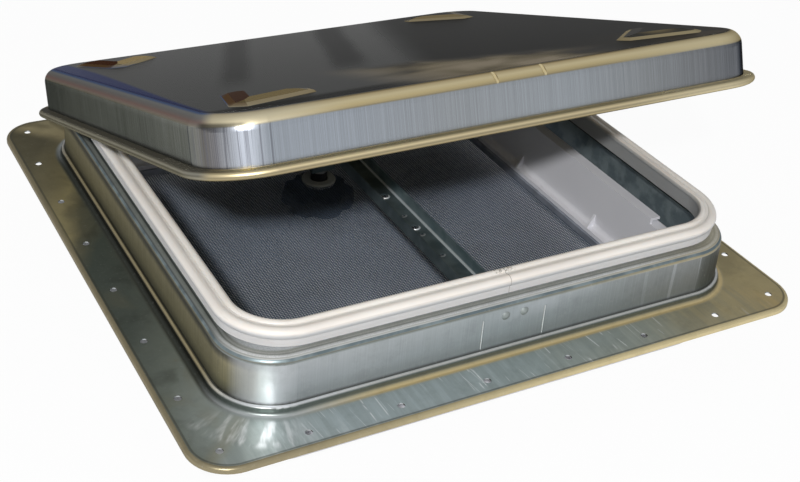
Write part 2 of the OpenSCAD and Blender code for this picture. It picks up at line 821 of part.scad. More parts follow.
// Cross channel
module cross_channel() {
  web_l = 2 * tab_y;
  color("darkslategray") difference() {
    union() {
      translate([-channel_w / 2, -tab_y, channel_bottom]) cube([channel_w, web_l, channel_sheet]);
      for (sx = [0, 1]) mirror([sx, 0, 0])
        translate([channel_w / 2 - channel_sheet, -tab_y, channel_bottom])
          cube([channel_sheet, web_l, channel_h]);
      for (sy = [0, 1]) mirror([0, sy, 0])
        translate([-channel_w / 2, -tab_y, channel_bottom])
          cube([channel_w, channel_sheet, channel_sheet + tab_h]);
      for (sx = [0, 1]) mirror([sx, 0, 0])
        translate([channel_w / 2 - channel_sheet, tab_y, channel_z]) rotate([90, 0, 0])
          linear_extrude(web_l) difference() {
            translate([-channel_bend, 0]) square(channel_bend);
            translate([-channel_bend, channel_bend]) circle(channel_bend);
          }
      for (y = big_holes) translate([0, -y, channel_z])
        cylinder(d1 = big_hole_d + 2 * hole_lip, d2 = big_hole_d + hole_lip, h = hole_lip / 2);
    }
    for (y = big_holes) translate([0, -y, channel_bottom - cut])
      cylinder(d = big_hole_d, h = channel_sheet + hole_lip + 2 * cut);
    for (y = small_holes) translate([0, -y, channel_bottom - cut])
      cylinder(d = small_hole_d, h = channel_sheet + 2 * cut);
    at_channel_rivets(tab_y) rivet_hole(2 * channel_sheet);
    at_bracket_rivets(channel_z) rivet_hole(2 * channel_sheet);
    at_garnish_screws(channel_bottom - cut)
      cylinder(d = garnish_screw_d + 2 * bracket_gap, h = channel_sheet + 2 * cut);
  }
}

module channel_rivets() {
  color("silver") at_channel_rivets(curb_half) rivet(sheet + tab_gap + channel_sheet);
}

// Crank
module bracket_shell() {
  depth = bracket_end - bracket_y;
  height = bracket_top + bracket_down;
  translate([bracket_left, bracket_y, -bracket_down]) difference() {
    cube([bracket_w, depth, height]);
    translate([bracket_sheet, bracket_sheet, bracket_sheet])
      cube([bracket_w - 2 * bracket_sheet, depth, height - 2 * bracket_sheet]);
  }
}

module along_shaft(z) {
  translate([shaft_x, shaft_y, z]) children();
}

module along_pin(x) {
  translate([x, pivot_y, pivot_z]) rotate([0, 90, 0]) children();
}

module operator_bracket() {
  color("slategray") difference() {
    bracket_shell();
    along_shaft(-bracket_down - cut) cylinder(d = bush_d + 2 * run_gap, h = bracket_sheet + 2 * cut);
    along_shaft(bracket_top - bracket_sheet - cut)
      cylinder(d = shaft_d + 2 * run_gap, h = bracket_sheet + 2 * cut);
    along_pin(bracket_left - cut) cylinder(d = pin_d + 2 * run_gap, h = bracket_w + 2 * cut);
    at_bracket_rivets(bracket_top) rivet_hole(2 * bracket_sheet);
  }
}

module bracket_rivets() {
  color("silver") at_bracket_rivets(channel_z) rivet(channel_sheet + bracket_gap + bracket_sheet);
}

module shaft_bush() {
  color("gainsboro") difference() {
    union() {
      along_shaft(bush_bottom) cylinder(d = bush_flange_d, h = bush_flange_t);
      along_shaft(bush_bottom) cylinder(d = bush_d, h = bush_flange_t + run_gap + bracket_sheet);
    }
    along_shaft(bush_bottom - cut)
      cylinder(d = shaft_d + 2 * run_gap, h = bush_flange_t + bracket_sheet + 2 * cut);
  }
}

module drive_shaft() {
  thread_r = (worm_d - worm_depth) / 2;
  turns = worm_l / worm_lead;
  turn_steps = 12;
  thread_sides = 10;
  color("lightslategray") difference() {
    union() {
      along_shaft(shaft_bottom) cylinder(d = shaft_d, h = shaft_top - shaft_bottom);
      along_shaft(pivot_z - worm_l / 2)
        linear_extrude(worm_l, twist = -360 * turns, slices = turns * turn_steps, segments = thread_sides)
          translate([worm_depth / 2, 0]) circle(thread_r, $fn = thread_sides);
    }
    along_shaft(shaft_bottom - cut) cylinder(d = knob_screw_d + 2 * run_gap, h = knob_screw_l + cut);
  }
}

module toothed_disc() {
  root_r = wheel_d / 2 - tooth_depth;
  tooth_w = PI * root_r / wheel_teeth;
  linear_extrude(wheel_t, center = true) {
    circle(root_r);
    for (i = [0:wheel_teeth - 1]) rotate(360 / wheel_teeth * i)
      polygon([
        [root_r - tooth_depth, -tooth_w / 2], [root_r, -tooth_w / 2], [wheel_d / 2, -tooth_w / 4],
        [wheel_d / 2, tooth_w / 4], [root_r, tooth_w / 2], [root_r - tooth_depth, tooth_w / 2]
      ]);
  }
}

module worm_wheel() {
  hub_left = bracket_left + bracket_sheet + side_gap;
  hub_l = bracket_w - 2 * bracket_sheet - 2 * side_gap;
  color("tan") difference() {
    union() {
      along_pin(shaft_x) toothed_disc();
      along_pin(hub_left) cylinder(d = wheel_hub_d, h = hub_l);
    }
    along_pin(hub_left - cut) cylinder(d = pin_d + 2 * run_gap, h = hub_l + 2 * cut);
  }
}

module pivot_pin() {
  left = arm_left - run_gap;
  right = bracket_right + side_gap;
  color("silver") {
    along_pin(left) cylinder(d = pin_d, h = right - left);
    along_pin(left - pin_head_t) cylinder(d = pin_head_d, h = pin_head_t);
    along_pin(right) cylinder(d = pin_head_d, h = pin_head_t);
  }
}

module arm_spacer() {
  left = arm_right + run_gap;
  right = bracket_left - side_gap;
  color("silver") difference() {
    along_pin(left) cylinder(d = spacer_d, h = right - left);
    along_pin(left - cut) cylinder(d = pin_d + 2 * run_gap, h = right - left + 2 * cut);
  }
}

// Lift arm
module lift_arm() {
  color("slategray") difference() {
    translate([arm_left, pivot_y, pivot_z]) rotate([-arm_rest, 0, 0]) {
      translate([0, -arm_l, -arm_w / 2]) cube([arm_t, arm_l, arm_w]);
      for (y = [0, -arm_l]) translate([0, y, 0]) rotate([0, 90, 0]) cylinder(d = arm_w, h = arm_t);
    }
    along_pin(arm_left - cut) cylinder(d = pin_d + 2 * run_gap, h = arm_t + 2 * cut);
    translate([arm_left - cut, button_y, button_z]) rotate([0, 90, 0])
      cylinder(d = button_stem_d + 2 * run_gap, h = arm_t + 2 * cut);
  }
}

module slide_button() {
  body_l = track_clear + track_sheet + side_gap - run_gap;
  color("ivory") translate([arm_left - run_gap, button_y, button_z]) rotate([0, -90, 0]) {
    translate([0, 0, -arm_t - 2 * run_gap]) cylinder(d = button_stem_d, h = arm_t + 2 * run_gap);
    cylinder(d = button_d, h = body_l);
    translate([0, 0, body_l]) cylinder(d = button_head_d, h = button_head_t);
    translate([0, 0, -arm_t - 2 * run_gap - button_tail_t]) cylinder(d = button_d, h = button_tail_t);
  }
}

module lift_track() {
  slot_z = lid_under - track_drop;
  low = slot_z - slot_h / 2 - track_edge;
  high = lid_under - track_gap;
  front = hinge_y - slot_far - slot_h / 2 - track_edge;
  back = hinge_y - slot_near + slot_h / 2 + track_edge;
  color("lightslategray") on_lid() difference() {
    union() {
      translate([track_x - track_sheet, front, low]) cube([track_sheet, back - front, high - low]);
      translate([track_x - track_flange, front, high - track_sheet])
        cube([track_flange, back - front, track_sheet]);
    }
    translate([track_x - track_sheet - cut, hinge_y - slot_far, slot_z - slot_h / 2])
      cube([track_sheet + 2 * cut, slot_far - slot_near, slot_h]);
    for (reach = [slot_far, slot_near])
      translate([track_x - track_sheet - cut, hinge_y - reach, slot_z])
        rotate([0, 90, 0]) cylinder(d = slot_h, h = track_sheet + 2 * cut);
  }
}

// Garnish: walls with tongues and lips, an inward foot and a ceiling flange
module garnish_foot_profile() {
  translate([-foot_in, -foot_down - garnish_t]) square([foot_in, garnish_t]);
  translate([-foot_in, foot_bottom]) square([garnish_t, foot_lip]);
  translate([0, -foot_down]) difference() {
    translate([-foot_corner, 0]) square(foot_corner);
    translate([-foot_corner, foot_corner]) circle(foot_corner);
  }
}

module tongue() {
  translate([-tongue_l / 2, garnish_in, garnish_top - cut])
    cube([tongue_l, garnish_t, tongue_top - garnish_top + cut]);
  translate([-tongue_l / 2, garnish_in, tongue_top - garnish_t]) cube([tongue_l, garnish_t + lip_w, garnish_t]);
}

module gussets() {
  for (sx = [-1, 1]) translate([sx * gusset_span / 2, garnish_in, -foot_down]) rotate([90, 0, -90])
    linear_extrude(garnish_t, center = true) polygon([[0, 0], [foot_in, 0], [0, foot_corner + gusset]]);
}

module garnish() {
  color("white") difference() {
    union() {
      translate([0, 0, -ceiling_down]) linear_extrude(ceiling_down + garnish_top) difference() {
        round_square(garnish_out, garnish_out_r);
        round_square(garnish_in, garnish_r);
      }
      translate([0, 0, -ceiling_down]) linear_extrude(garnish_t) difference() {
        round_square(ceiling_half, garnish_out_r + ceiling_out);
        round_square(garnish_in, garnish_r);
      }
      translate([0, 0, garnish_top - garnish_t]) linear_extrude(garnish_t) difference() {
        round_square(garnish_out + lip_w, garnish_out_r + lip_w);
        round_square(garnish_in, garnish_r);
      }
      round_frame(garnish_in, garnish_r) garnish_foot_profile();
      for (side = [0:3]) rotate(90 * side) {
        tongue();
        gussets();
        translate([0, garnish_in, snap_top - snap_t]) row_x(snap_tabs, garnish_in / snap_tabs)
          translate([-snap_l / 2, -snap_in, 0]) cube([snap_l, snap_in + garnish_t / 2, snap_t]);
      }
      at_garnish_screws(-foot_down - garnish_t / 2) cylinder(d = boss_d, h = boss_top + foot_down + garnish_t / 2);
    }
    difference() {
      translate([-tongue_gap / 2, -ceiling_half, garnish_top])
        cube([tongue_gap, 2 * ceiling_half, tongue_top]);
      at_garnish_screws(0) cylinder(d = boss_d, h = boss_top);
    }
    for (side = [0:3]) rotate(90 * side)
      translate([0, -ceiling_line, -ceiling_down - cut]) row_x(2, ceiling_hole_span)
        cylinder(d = ceiling_hole_d, h = garnish_t + 2 * cut);
    at_garnish_screws(channel_z - garnish_screw_l - cut)
      cylinder(d = garnish_screw_d + 2 * rivet_gap, h = garnish_screw_l + cut);
  }
}

module garnish_screws() {
  color("silver") at_garnish_screws(channel_z + rivet_gap) {
    cylinder(d1 = garnish_screw_head_d, d2 = garnish_screw_d, h = garnish_screw_head_h);
    translate([0, 0, -garnish_screw_l]) cylinder(d = garnish_screw_d, h = garnish_screw_l + rivet_gap);
  }
}

// Insect screen
module screen_frame() {
  groove = spline_d + 2 * spline_gap;
  color("lightsteelblue") round_frame(frame_in, garnish_r - bar_w - screen_gap) difference() {
    translate([0, frame_bottom]) square([bar_w, bar_h]);
    translate([groove_in - spline_gap, frame_bottom - cut]) square([groove, groove + cut]);
  }
}

module screen_spline() {
  color("dimgray") round_frame(frame_in, garnish_r - bar_w - screen_gap)
    translate([groove_in + spline_d / 2, frame_bottom + spline_d / 2]) circle(d = spline_d);
}

module insect_screen() {
  color("darkslategray") translate([0, 0, mesh_bottom]) linear_extrude(mesh_t) difference() {
    union() {
      difference() {
        round_square(mesh_half, garnish_r - bar_w - screen_gap + groove_in);
        for (i = [0:mesh_n - 1], j = [0:mesh_n - 1])
          translate([(i - (mesh_n - 1) / 2) * mesh_pitch, (j - (mesh_n - 1) / 2) * mesh_pitch])
            square(mesh_open, center = true);
      }
      translate([shaft_x, shaft_y]) circle(d = patch_d);
    }
    translate([shaft_x, shaft_y]) circle(d = grommet_neck_d + 2 * grommet_gap);
  }
}

module screen_grommet() {
  neck_l = mesh_t + 2 * grommet_gap;
  color("whitesmoke") along_shaft(mesh_bottom - grommet_gap - grommet_t) difference() {
    union() {
      cylinder(d = patch_d, h = grommet_t);
      cylinder(d = grommet_neck_d, h = 2 * grommet_t + neck_l);
      translate([0, 0, grommet_t + neck_l]) cylinder(d = grommet_d, h = grommet_t / 2);
      translate([0, 0, 1.5 * grommet_t + neck_l])
        cylinder(d1 = grommet_d, d2 = grommet_d - grommet_t, h = grommet_t / 2);
    }
    translate([0, 0, -cut]) cylinder(d = grommet_hole_d, h = 2 * grommet_t + neck_l + 2 * cut);
  }
}

// Knob
module knob_body() {
  intersection() {
    rotate_extrude() {
      square([knob_d / 2 - knob_round, knob_h]);
      translate([0, knob_round]) square([knob_d / 2, knob_h - 2 * knob_round]);
      for (z = [knob_round, knob_h - knob_round]) translate([knob_d / 2 - knob_round, z]) circle(knob_round);
    }
    difference() {
      cylinder(d = knob_d + 2 * cut, h = knob_h);
      for (i = [0:lobes - 1]) rotate(360 / lobes * i)
        translate([knob_d / 2 + hollow_d / 2 - hollow_depth, 0, -cut])
          cylinder(d = hollow_d, h = knob_h + 2 * cut);
    }
  }
}

module knob() {
  color("black") along_shaft(knob_bottom) difference() {
    union() {
      knob_body();
      cylinder(d = hub_d, h = hub_top - knob_bottom);
    }
    translate([0, 0, -cut]) cylinder(d = recess_d, h = recess_depth + cut);
    translate([0, 0, -cut]) cylinder(d = knob_screw_d + 2 * run_gap, h = knob_h);
    translate([0, 0, recess_depth + knob_face - run_gap])
      cylinder(d = shaft_d + 2 * run_gap, h = hub_top - knob_bottom);
  }
}

module thrust_washer() {
  color("gainsboro") along_shaft(washer_top - washer_t) difference() {
    cylinder(d = washer_d, h = washer_t);
    translate([0, 0, -cut]) cylinder(d = shaft_d + 2 * run_gap, h = washer_t + 2 * cut);
  }
}

module knob_screw() {
  head_z = knob_bottom + recess_depth - run_gap - knob_screw_head_h;
  color("gray") along_shaft(head_z) {
    cylinder(d = knob_screw_head_d, h = knob_screw_head_h);
    cylinder(d = knob_screw_d, h = knob_screw_head_h + knob_screw_l);
  }
}

base_frame();
lid_seal();
cross_channel();
channel_rivets();
hinge_base_leaf();
hinge_lid_leaf();
hinge_pin();
hinge_base_rivets();
hinge_lid_rivets();
lid_shell();
lift_track();
lift_arm();
slide_button();
pivot_pin();
arm_spacer();
worm_wheel();
operator_bracket();
bracket_rivets();
shaft_bush();
drive_shaft();
thrust_washer();
knob();
knob_screw();
garnish();
garnish_screws();
screen_frame();
insect_screen();
screen_spline();
screen_grommet();
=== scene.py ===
"""Caravan roof vent: finishes, insect mesh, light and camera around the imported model. Metres, +Z up."""
import json
import math

import bpy
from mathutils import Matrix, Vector


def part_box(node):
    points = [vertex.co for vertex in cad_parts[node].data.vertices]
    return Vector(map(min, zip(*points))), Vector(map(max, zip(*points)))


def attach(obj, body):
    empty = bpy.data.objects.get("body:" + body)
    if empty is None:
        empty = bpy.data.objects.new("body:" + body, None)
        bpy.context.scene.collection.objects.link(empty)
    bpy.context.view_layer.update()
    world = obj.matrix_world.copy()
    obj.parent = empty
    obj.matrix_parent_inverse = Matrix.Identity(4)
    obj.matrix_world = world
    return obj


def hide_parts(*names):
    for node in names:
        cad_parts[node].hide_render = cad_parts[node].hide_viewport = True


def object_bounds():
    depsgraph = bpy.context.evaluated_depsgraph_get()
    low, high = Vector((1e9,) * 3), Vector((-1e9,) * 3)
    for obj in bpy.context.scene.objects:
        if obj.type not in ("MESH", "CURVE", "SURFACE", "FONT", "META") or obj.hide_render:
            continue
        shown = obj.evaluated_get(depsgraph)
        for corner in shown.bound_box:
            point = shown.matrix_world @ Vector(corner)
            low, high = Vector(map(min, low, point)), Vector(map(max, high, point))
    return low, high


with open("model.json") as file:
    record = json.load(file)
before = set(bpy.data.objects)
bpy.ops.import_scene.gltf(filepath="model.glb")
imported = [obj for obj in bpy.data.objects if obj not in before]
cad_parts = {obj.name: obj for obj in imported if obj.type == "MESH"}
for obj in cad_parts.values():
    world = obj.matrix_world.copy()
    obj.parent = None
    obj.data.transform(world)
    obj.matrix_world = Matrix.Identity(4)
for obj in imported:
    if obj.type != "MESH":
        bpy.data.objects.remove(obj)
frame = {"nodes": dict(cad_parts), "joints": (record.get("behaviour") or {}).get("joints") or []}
cad_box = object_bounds()
NODES = frame["nodes"]
JOINTS = {joint["name"]: joint for joint in frame["joints"]}

# Photograph's frame in pixels, and where its optical axis meets it
IMAGE_W, IMAGE_H = 800, 482
AXIS_PX = (413.2, 119.7)
FOCAL_PX = 1360.0
SENSOR_MM = 36.0
CAMERA_AT = (-0.4523, -0.7947, 0.5426)
CAMERA_TURN_DEG = (63.06, -4.54, -28.81)

# The lid rests this far open, about the hinge
LID_OPEN = math.radians(-JOINTS["lid_hinge"]["range_deg"][0])
HINGE = Vector(JOINTS["lid_hinge"]["pos_m"])

# Sockets of a colour mix node
MIX_AMOUNT, MIX_A, MIX_B, MIX_RESULT = 0, 6, 7, 2


# Node trees
class Shade:
    """A material's node tree, with short ways to add nodes and join them."""

    def __init__(self, name):
        self.material = bpy.data.materials.new(name)
        self.material.use_nodes = True
        self.tree = self.material.node_tree
        self.shader = self.tree.nodes["Principled BSDF"]

    def put(self, socket, value):
        """Sets a socket, or links another node's output to it."""
        if isinstance(value, bpy.types.NodeSocket):
            self.tree.links.new(value, socket)
        elif hasattr(value, "__len__") and len(value) == 3 and socket.type == "RGBA":
            socket.default_value = (*value, 1.0)
        else:
            socket.default_value = value

    def node(self, kind, inputs=None, **settings):
        made = self.tree.nodes.new(kind)
        for key, value in settings.items():
            setattr(made, key, value)
        for key, value in (inputs or {}).items():
            self.put(made.inputs[key], value)
        return made

    def math(self, operation, a, b=0.0, c=0.0):
        return self.node("ShaderNodeMath", {0: a, 1: b, 2: c}, operation=operation).outputs[0]

    def plus(self, a, b):
        return self.math("ADD", a, b)

    def minus(self, a, b):
        return self.math("SUBTRACT", a, b)

    def most(self, a, b):
        return self.math("MAXIMUM", a, b)

    def size(self, value):
        return self.math("ABSOLUTE", value)

    def scaled(self, value, factor, offset):
        return self.math("MULTIPLY_ADD", value, factor, offset)

    def times(self, *values):
        product = values[0]
        for value in values[1:]:
            product = self.math("MULTIPLY", product, value)
        return product

    def length(self, a, b):
        return self.math("SQRT", self.plus(self.times(a, a), self.times(b, b)))

    def rest(self, mask):
        """What a mask leaves over."""
        return self.minus(1.0, mask)

    def mix(self, amount, a, b):
        made = self.node("ShaderNodeMix", data_type="RGBA", clamp_factor=True)
        self.put(made.inputs[MIX_AMOUNT], amount)
        self.put(made.inputs[MIX_A], a)
        self.put(made.inputs[MIX_B], b)
        return made.outputs[MIX_RESULT]

    def over(self, colour, other, *masks, share):
        """Lays another colour over one, by a share of the product of masks."""
        return self.mix(self.times(*masks, share), colour, other)

    def step(self, value, low, high):
        """0 below low, 1 above high and smooth between. With low above high it falls instead."""
        ends = {"From Min": low, "From Max": high}
        if low > high:
            ends = {"From Min": high, "From Max": low, "To Min": 1.0, "To Max": 0.0}
        made = self.node("ShaderNodeMapRange", {"Value": value, **ends}, interpolation_type="SMOOTHSTEP")
        return made.outputs[0]

    def band(self, value, middle, half, soft):
        """1 within half of the middle, falling to 0 over soft."""
        return self.step(self.size(self.minus(value, middle)), half + soft, half)

    def ramp(self, value, stops):
        """Colours along a value. Each stop is the value and the colour there, in rising order."""
        low, high = stops[0][0], stops[-1][0]
        share = self.node("ShaderNodeMapRange", {"Value": value, "From Min": low, "From Max": high})
        made = self.node("ShaderNodeValToRGB", {0: share.outputs[0]})
        points = made.color_ramp.elements
        for at, colour in stops[1:-1]:
            points.new((at - low) / (high - low)).color = (*colour, 1.0)
        points[0].color = (*stops[0][1], 1.0)
        points[-1].color = (*stops[-1][1], 1.0)
        return made.outputs[0]

    def outside(self, x, y, half, radius):
        """Distance outside a square with round corners, below 0 inside it."""
        past = [self.minus(self.size(v), half - radius) for v in (x, y)]
        inner = self.math("MINIMUM", self.most(*past), 0.0)
        far = self.length(*[self.most(v, 0.0) for v in past])
        return self.minus(self.plus(far, inner), radius)

    def join(self, x=0.0, y=0.0, z=0.0):
        return self.node("ShaderNodeCombineXYZ", {0: x, 1: y, 2: z}).outputs[0]

    def split(self, vector):
        return self.node("ShaderNodeSeparateXYZ", {0: vector}).outputs

    def noise(self, vector, scale=1.0, detail=3.0, rough=0.5, distortion=0.0):
        return self.node("ShaderNodeTexNoise", {"Vector": vector, "Scale": scale, "Detail": detail,
                                                "Roughness": rough, "Distortion": distortion}).outputs[0]

    def place(self, lid=False):
        """Object coordinates and normal. For the lid they are turned to the lid's closed place."""
        source = self.node("ShaderNodeTexCoord").outputs
        if not lid:
            return source["Object"], source["Normal"]
        at_hinge = self.node("ShaderNodeVectorMath", {0: source["Object"], 1: HINGE}, operation="SUBTRACT")
        turned = self.turn(at_hinge.outputs[0])
        placed = self.node("ShaderNodeVectorMath", {0: turned, 1: HINGE}, operation="ADD")
        return placed.outputs[0], self.turn(source["Normal"])

    def turn(self, vector):
        made = self.node("ShaderNodeVectorRotate", {"Vector": vector, "Angle": LID_OPEN},
                         rotation_type="X_AXIS")
        return made.outputs[0]

    def finish(self, colour, rough, bump=None, height=0.0002, strength=0.3, **sockets):
        self.put(self.shader.inputs["Base Color"], colour)
        self.put(self.shader.inputs["Roughness"], rough)
        if bump is not None:
            made = self.node("ShaderNodeBump", {"Strength": strength, "Distance": height, "Height": bump})
            self.put(self.shader.inputs["Normal"], made.outputs[0])
        for key, value in sockets.items():
            self.put(self.shader.inputs[key.replace("_", " ")], value)
        return self.material


def dress(material, *names):
    """Gives CAD nodes a material of the scene."""
    for name in names:
        slots = NODES[name].data.materials
        slots.clear()
        slots.append(material)


def add_mesh(name, verts, faces, material):
    """A new object of the scene, in one material."""
    mesh = bpy.data.meshes.new(name)
    mesh.from_pydata(verts, [], faces)
    mesh.materials.append(material)
    made = bpy.data.objects.new(name, mesh)
    bpy.context.scene.collection.objects.link(made)
    return made


# Colours, linear, that several finishes share
SLATE = (0.1, 0.12, 0.11)
SILVER = (0.5, 0.53, 0.57)
TAN = (0.42, 0.35, 0.2)
GOLD = (0.66, 0.53, 0.28)
OLIVE = (0.15, 0.135, 0.08)
NEAR_BLACK = (0.028, 0.028, 0.022)
ZINC_DARK = (0.1, 0.135, 0.145)
ZINC_PALE = (0.17, 0.215, 0.225)

# Sizes that the finishes follow: flange, curb and ledge, and the lid in its closed place
FLANGE_HALF = 0.2325
FLANGE_R = 0.028
FLANGE_MIDDLE = 0.02
CURB_HALF = 0.197
CURB_R = 0.04
LEDGE_Z = 0.0395
FOOT_Z = 0.006
FOOT_REACH = 0.0058
LID_TOP = 0.0585
LID_TURN = 0.168
RIM_LOW = 0.0214
RIM_TOP = 0.0268
PAD_AT = 0.1503
PAD_R = 0.034

# Below, a pair is a step, from start to end, or a noise's fineness both ways.
# Three lengths are a band: its middle, half width and soft edge.

# Steps that several finishes share
NEAR_HALF = (0.0, -0.1)
FAR_HALF = (0.0, 0.1)
CLOUDS = (0.35, 0.65)
OFF_TOPS = (0.8, 0.4)

# Drawing marks: their fineness on the curb and the lid, coarser ones on the lid, and how they change upwards
CURB_GRAIN = 900.0
LID_GRAIN = 2600.0
LID_BROAD_GRAIN = 620.0
GRAIN_RISE = 9.0


def wall_grain(shade, vector, fineness):
    """Fine vertical drawing marks, which run on round the corners."""
    x, y, z = shade.split(vector)
    along = shade.plus(x, shade.times(shade.math("SIGN", x), y))
    place = shade.join(shade.times(along, fineness), 0.0, shade.times(z, GRAIN_RISE))
    return shade.noise(place, detail=5.0, rough=0.6)


def drawn(shade, colour, grain, edge, dark, pale, sheen):
    """A wall's colour, darker in its drawing marks and with a sheen between them."""
    marks = shade.mix(dark, colour, NEAR_BLACK)
    return shade.mix(shade.step(grain, *edge), marks, shade.mix(pale, colour, sheen))


def diagonal(shade, x, y):
    """How far a point lies to the left or right of the corners' diagonals, rather than in front or behind."""
    return shade.minus(shade.size(x), shade.size(y))


# Flange: colours along its left from the front and along its front from the left, and how they wander
WANDER = 0.16
LEAN = 2.2
# Brassy sheet tones mixed with painted reflection: the front paler, the left with a slate patch of painted
# dark reflection
FLANGE_LEFT = ((-0.21, (0.42, 0.47, 0.45)), (-0.14, (0.24, 0.27, 0.235)), (-0.06, (0.12, 0.14, 0.12)),
               (0.02, (0.1, 0.12, 0.1)), (0.06, (0.17, 0.165, 0.11)), (0.09, (0.42, 0.36, 0.19)),
               (0.13, (0.28, 0.245, 0.14)), (0.2, (0.14, 0.125, 0.075)))
FLANGE_FRONT = ((-0.21, (0.4, 0.45, 0.43)), (-0.12, (0.45, 0.52, 0.53)), (0.02, (0.38, 0.44, 0.43)),
                (0.1, (0.42, 0.44, 0.37)), (0.17, (0.44, 0.375, 0.215)), (0.22, (0.5, 0.39, 0.19)))
CORNER_MITRE = 0.012

# Its stains, brushing and brass: colours, and where a noise turns to them
PALE_STAIN, PALE_STAINS = (0.24, 0.22, 0.14), (0.5, 0.7)
DARK_STAINS = (0.46, 0.3)
BRUSH_FINENESS = (200.0, 16.0)
DARK_BRUSH, DARK_BRUSHING = (0.19, 0.225, 0.215), (0.62, 0.36)
PALE_BRUSH, PALE_BRUSHING = (0.8, 0.84, 0.84), (0.6, 0.72)
BRASS_DARK, BRASS_PALE = (0.36, 0.31, 0.18), (0.52, 0.43, 0.23)
BRASS_STAIN, BRASS_STAINS = (0.17, 0.145, 0.08), (0.46, 0.66)
BRASS_STAIN_Y = (-0.23, -0.1)

# Its scratches: angle and fineness of each set, how they run, and where they and two deep ones lie
SCRATCH = (0.88, 0.9, 0.9)
SCRATCH_SETS = ((0.0, 460.0), (0.12, 640.0))
SCRATCH_DRIFT = 4.0
SCRATCH_EDGE = (0.66, 0.74)
RUN_FINENESS = (70.0, 60.0)
RUN_EDGE = (0.48, 0.58)
SCRATCHED_X = (-0.02, 0.1, 0.08)
DEEP_X = (-0.107, -0.035)
DEEP_HALF, DEEP_SOFT = 0.0002, 0.0004
DEEP_Y = (-0.215, 0.007, 0.004)

# Radial marks round its front left corner, painted as bright highlight streaks
FAN_HIGHLIGHT = (0.95, 0.97, 0.97)
FAN_HIGHLIGHT_FINENESS = (9.0, 30.0)
FAN_HIGHLIGHT_EDGE = (0.45, 0.66)
FAN_HIGHLIGHT_X = (-0.15, -0.185)
FAN_HIGHLIGHT_Y = (-0.175, -0.2)
FAN_HIGHLIGHT_REACH = (0.02, 0.009, 0.006)


def scratches(shade, x, y, angle, fineness):
    """Thin straight scratches across the flange at one angle, in short runs."""
    cosine, sine = math.cos(angle), math.sin(angle)
    across = shade.plus(shade.times(x, cosine), shade.times(y, sine))
    along = shade.minus(shade.times(y, cosine), shade.times(x, sine))
    lines = shade.join(shade.times(across, fineness), shade.times(along, SCRATCH_DRIFT))
    lines = shade.step(shade.noise(lines, detail=0.0), *SCRATCH_EDGE)
    runs = shade.join(shade.times(across, RUN_FINENESS[0]), shade.times(along, RUN_FINENESS[1]))
    runs = shade.step(shade.noise(runs, detail=1.0), *RUN_EDGE)
    return shade.times(lines, runs)


def flange_left(shade, y, reach, wander, stains):
    """Silver in front, a slate patch of painted dark reflection, brassy to the back, with pale and dark
    stains.
    """
    far = shade.plus(shade.plus(y, wander), shade.scaled(reach, LEAN, -LEAN * FLANGE_MIDDLE))
    colour = shade.ramp(far, FLANGE_LEFT)
    colour = shade.over(colour, PALE_STAIN, shade.step(stains, *PALE_STAINS), share=0.3)
    return shade.over(colour, NEAR_BLACK, shade.step(stains, *DARK_STAINS), share=0.35)


def flange_front(shade, x, y, wander):
    """Silver, brassy to the right, and brushed."""
    colour = shade.ramp(shade.plus(x, wander), FLANGE_FRONT)
    brushed = shade.join(shade.times(x, BRUSH_FINENESS[0]), shade.times(y, BRUSH_FINENESS[1]))
    brushed = shade.noise(brushed, detail=5.0, rough=0.6)
    colour = shade.over(colour, DARK_BRUSH, shade.step(brushed, *DARK_BRUSHING), share=0.25)
    return shade.over(colour, PALE_BRUSH, shade.step(brushed, *PALE_BRUSHING), share=0.2)


def flange_colour(shade, vector, reach, cloud):
    """The flange's top: left, front, and brassy right and back, with scratches and painted highlight streaks
    at the front left corner.
    """
    x, y = shade.split(vector)[:2]
    wide = diagonal(shade, x, y)
    is_left = shade.times(shade.step(wide, -CORNER_MITRE, CORNER_MITRE), shade.step(x, *NEAR_HALF))
    is_front = shade.times(shade.step(wide, CORNER_MITRE, -CORNER_MITRE), shade.step(y, *NEAR_HALF))
    wander = shade.scaled(cloud, WANDER, -WANDER / 2)
    stains = shade.noise(vector, scale=26.0, detail=4.0, distortion=0.4)
    brass = shade.mix(shade.step(cloud, *CLOUDS), BRASS_DARK, BRASS_PALE)
    stained = shade.times(shade.step(stains, *BRASS_STAINS), shade.step(y, *BRASS_STAIN_Y))
    brass = shade.over(brass, BRASS_STAIN, stained, share=0.6)
    colour = shade.mix(is_front, brass, flange_front(shade, x, y, wander))
    colour = shade.mix(is_left, colour, flange_left(shade, y, reach, wander, stains))
    marks = shade.most(*[scratches(shade, x, y, angle, fineness) for angle, fineness in SCRATCH_SETS])
    marks = shade.times(marks, shade.band(x, *SCRATCHED_X), is_front)
    for place in DEEP_X:
        deep = shade.times(shade.band(x, place, DEEP_HALF, DEEP_SOFT), shade.band(y, *DEEP_Y))
        marks = shade.most(marks, deep)
    colour = shade.over(colour, SCRATCH, marks, share=0.6)
    # Painted highlight: bright streaks fanning round the front left corner
    centre = CURB_HALF - CURB_R
    turn = shade.math("ARCTAN2", shade.plus(y, centre), shade.plus(x, centre))
    fan_highlight = shade.join(shade.times(turn, FAN_HIGHLIGHT_FINENESS[0]), shade.times(reach, FAN_HIGHLIGHT_FINENESS[1]))
    fan_highlight = shade.step(shade.noise(fan_highlight, detail=3.0), *FAN_HIGHLIGHT_EDGE)
    corner = shade.times(shade.step(x, *FAN_HIGHLIGHT_X), shade.step(y, *FAN_HIGHLIGHT_Y), shade.band(reach, *FAN_HIGHLIGHT_REACH))
    return shade.over(colour, FAN_HIGHLIGHT, corner, fan_highlight, share=0.95)


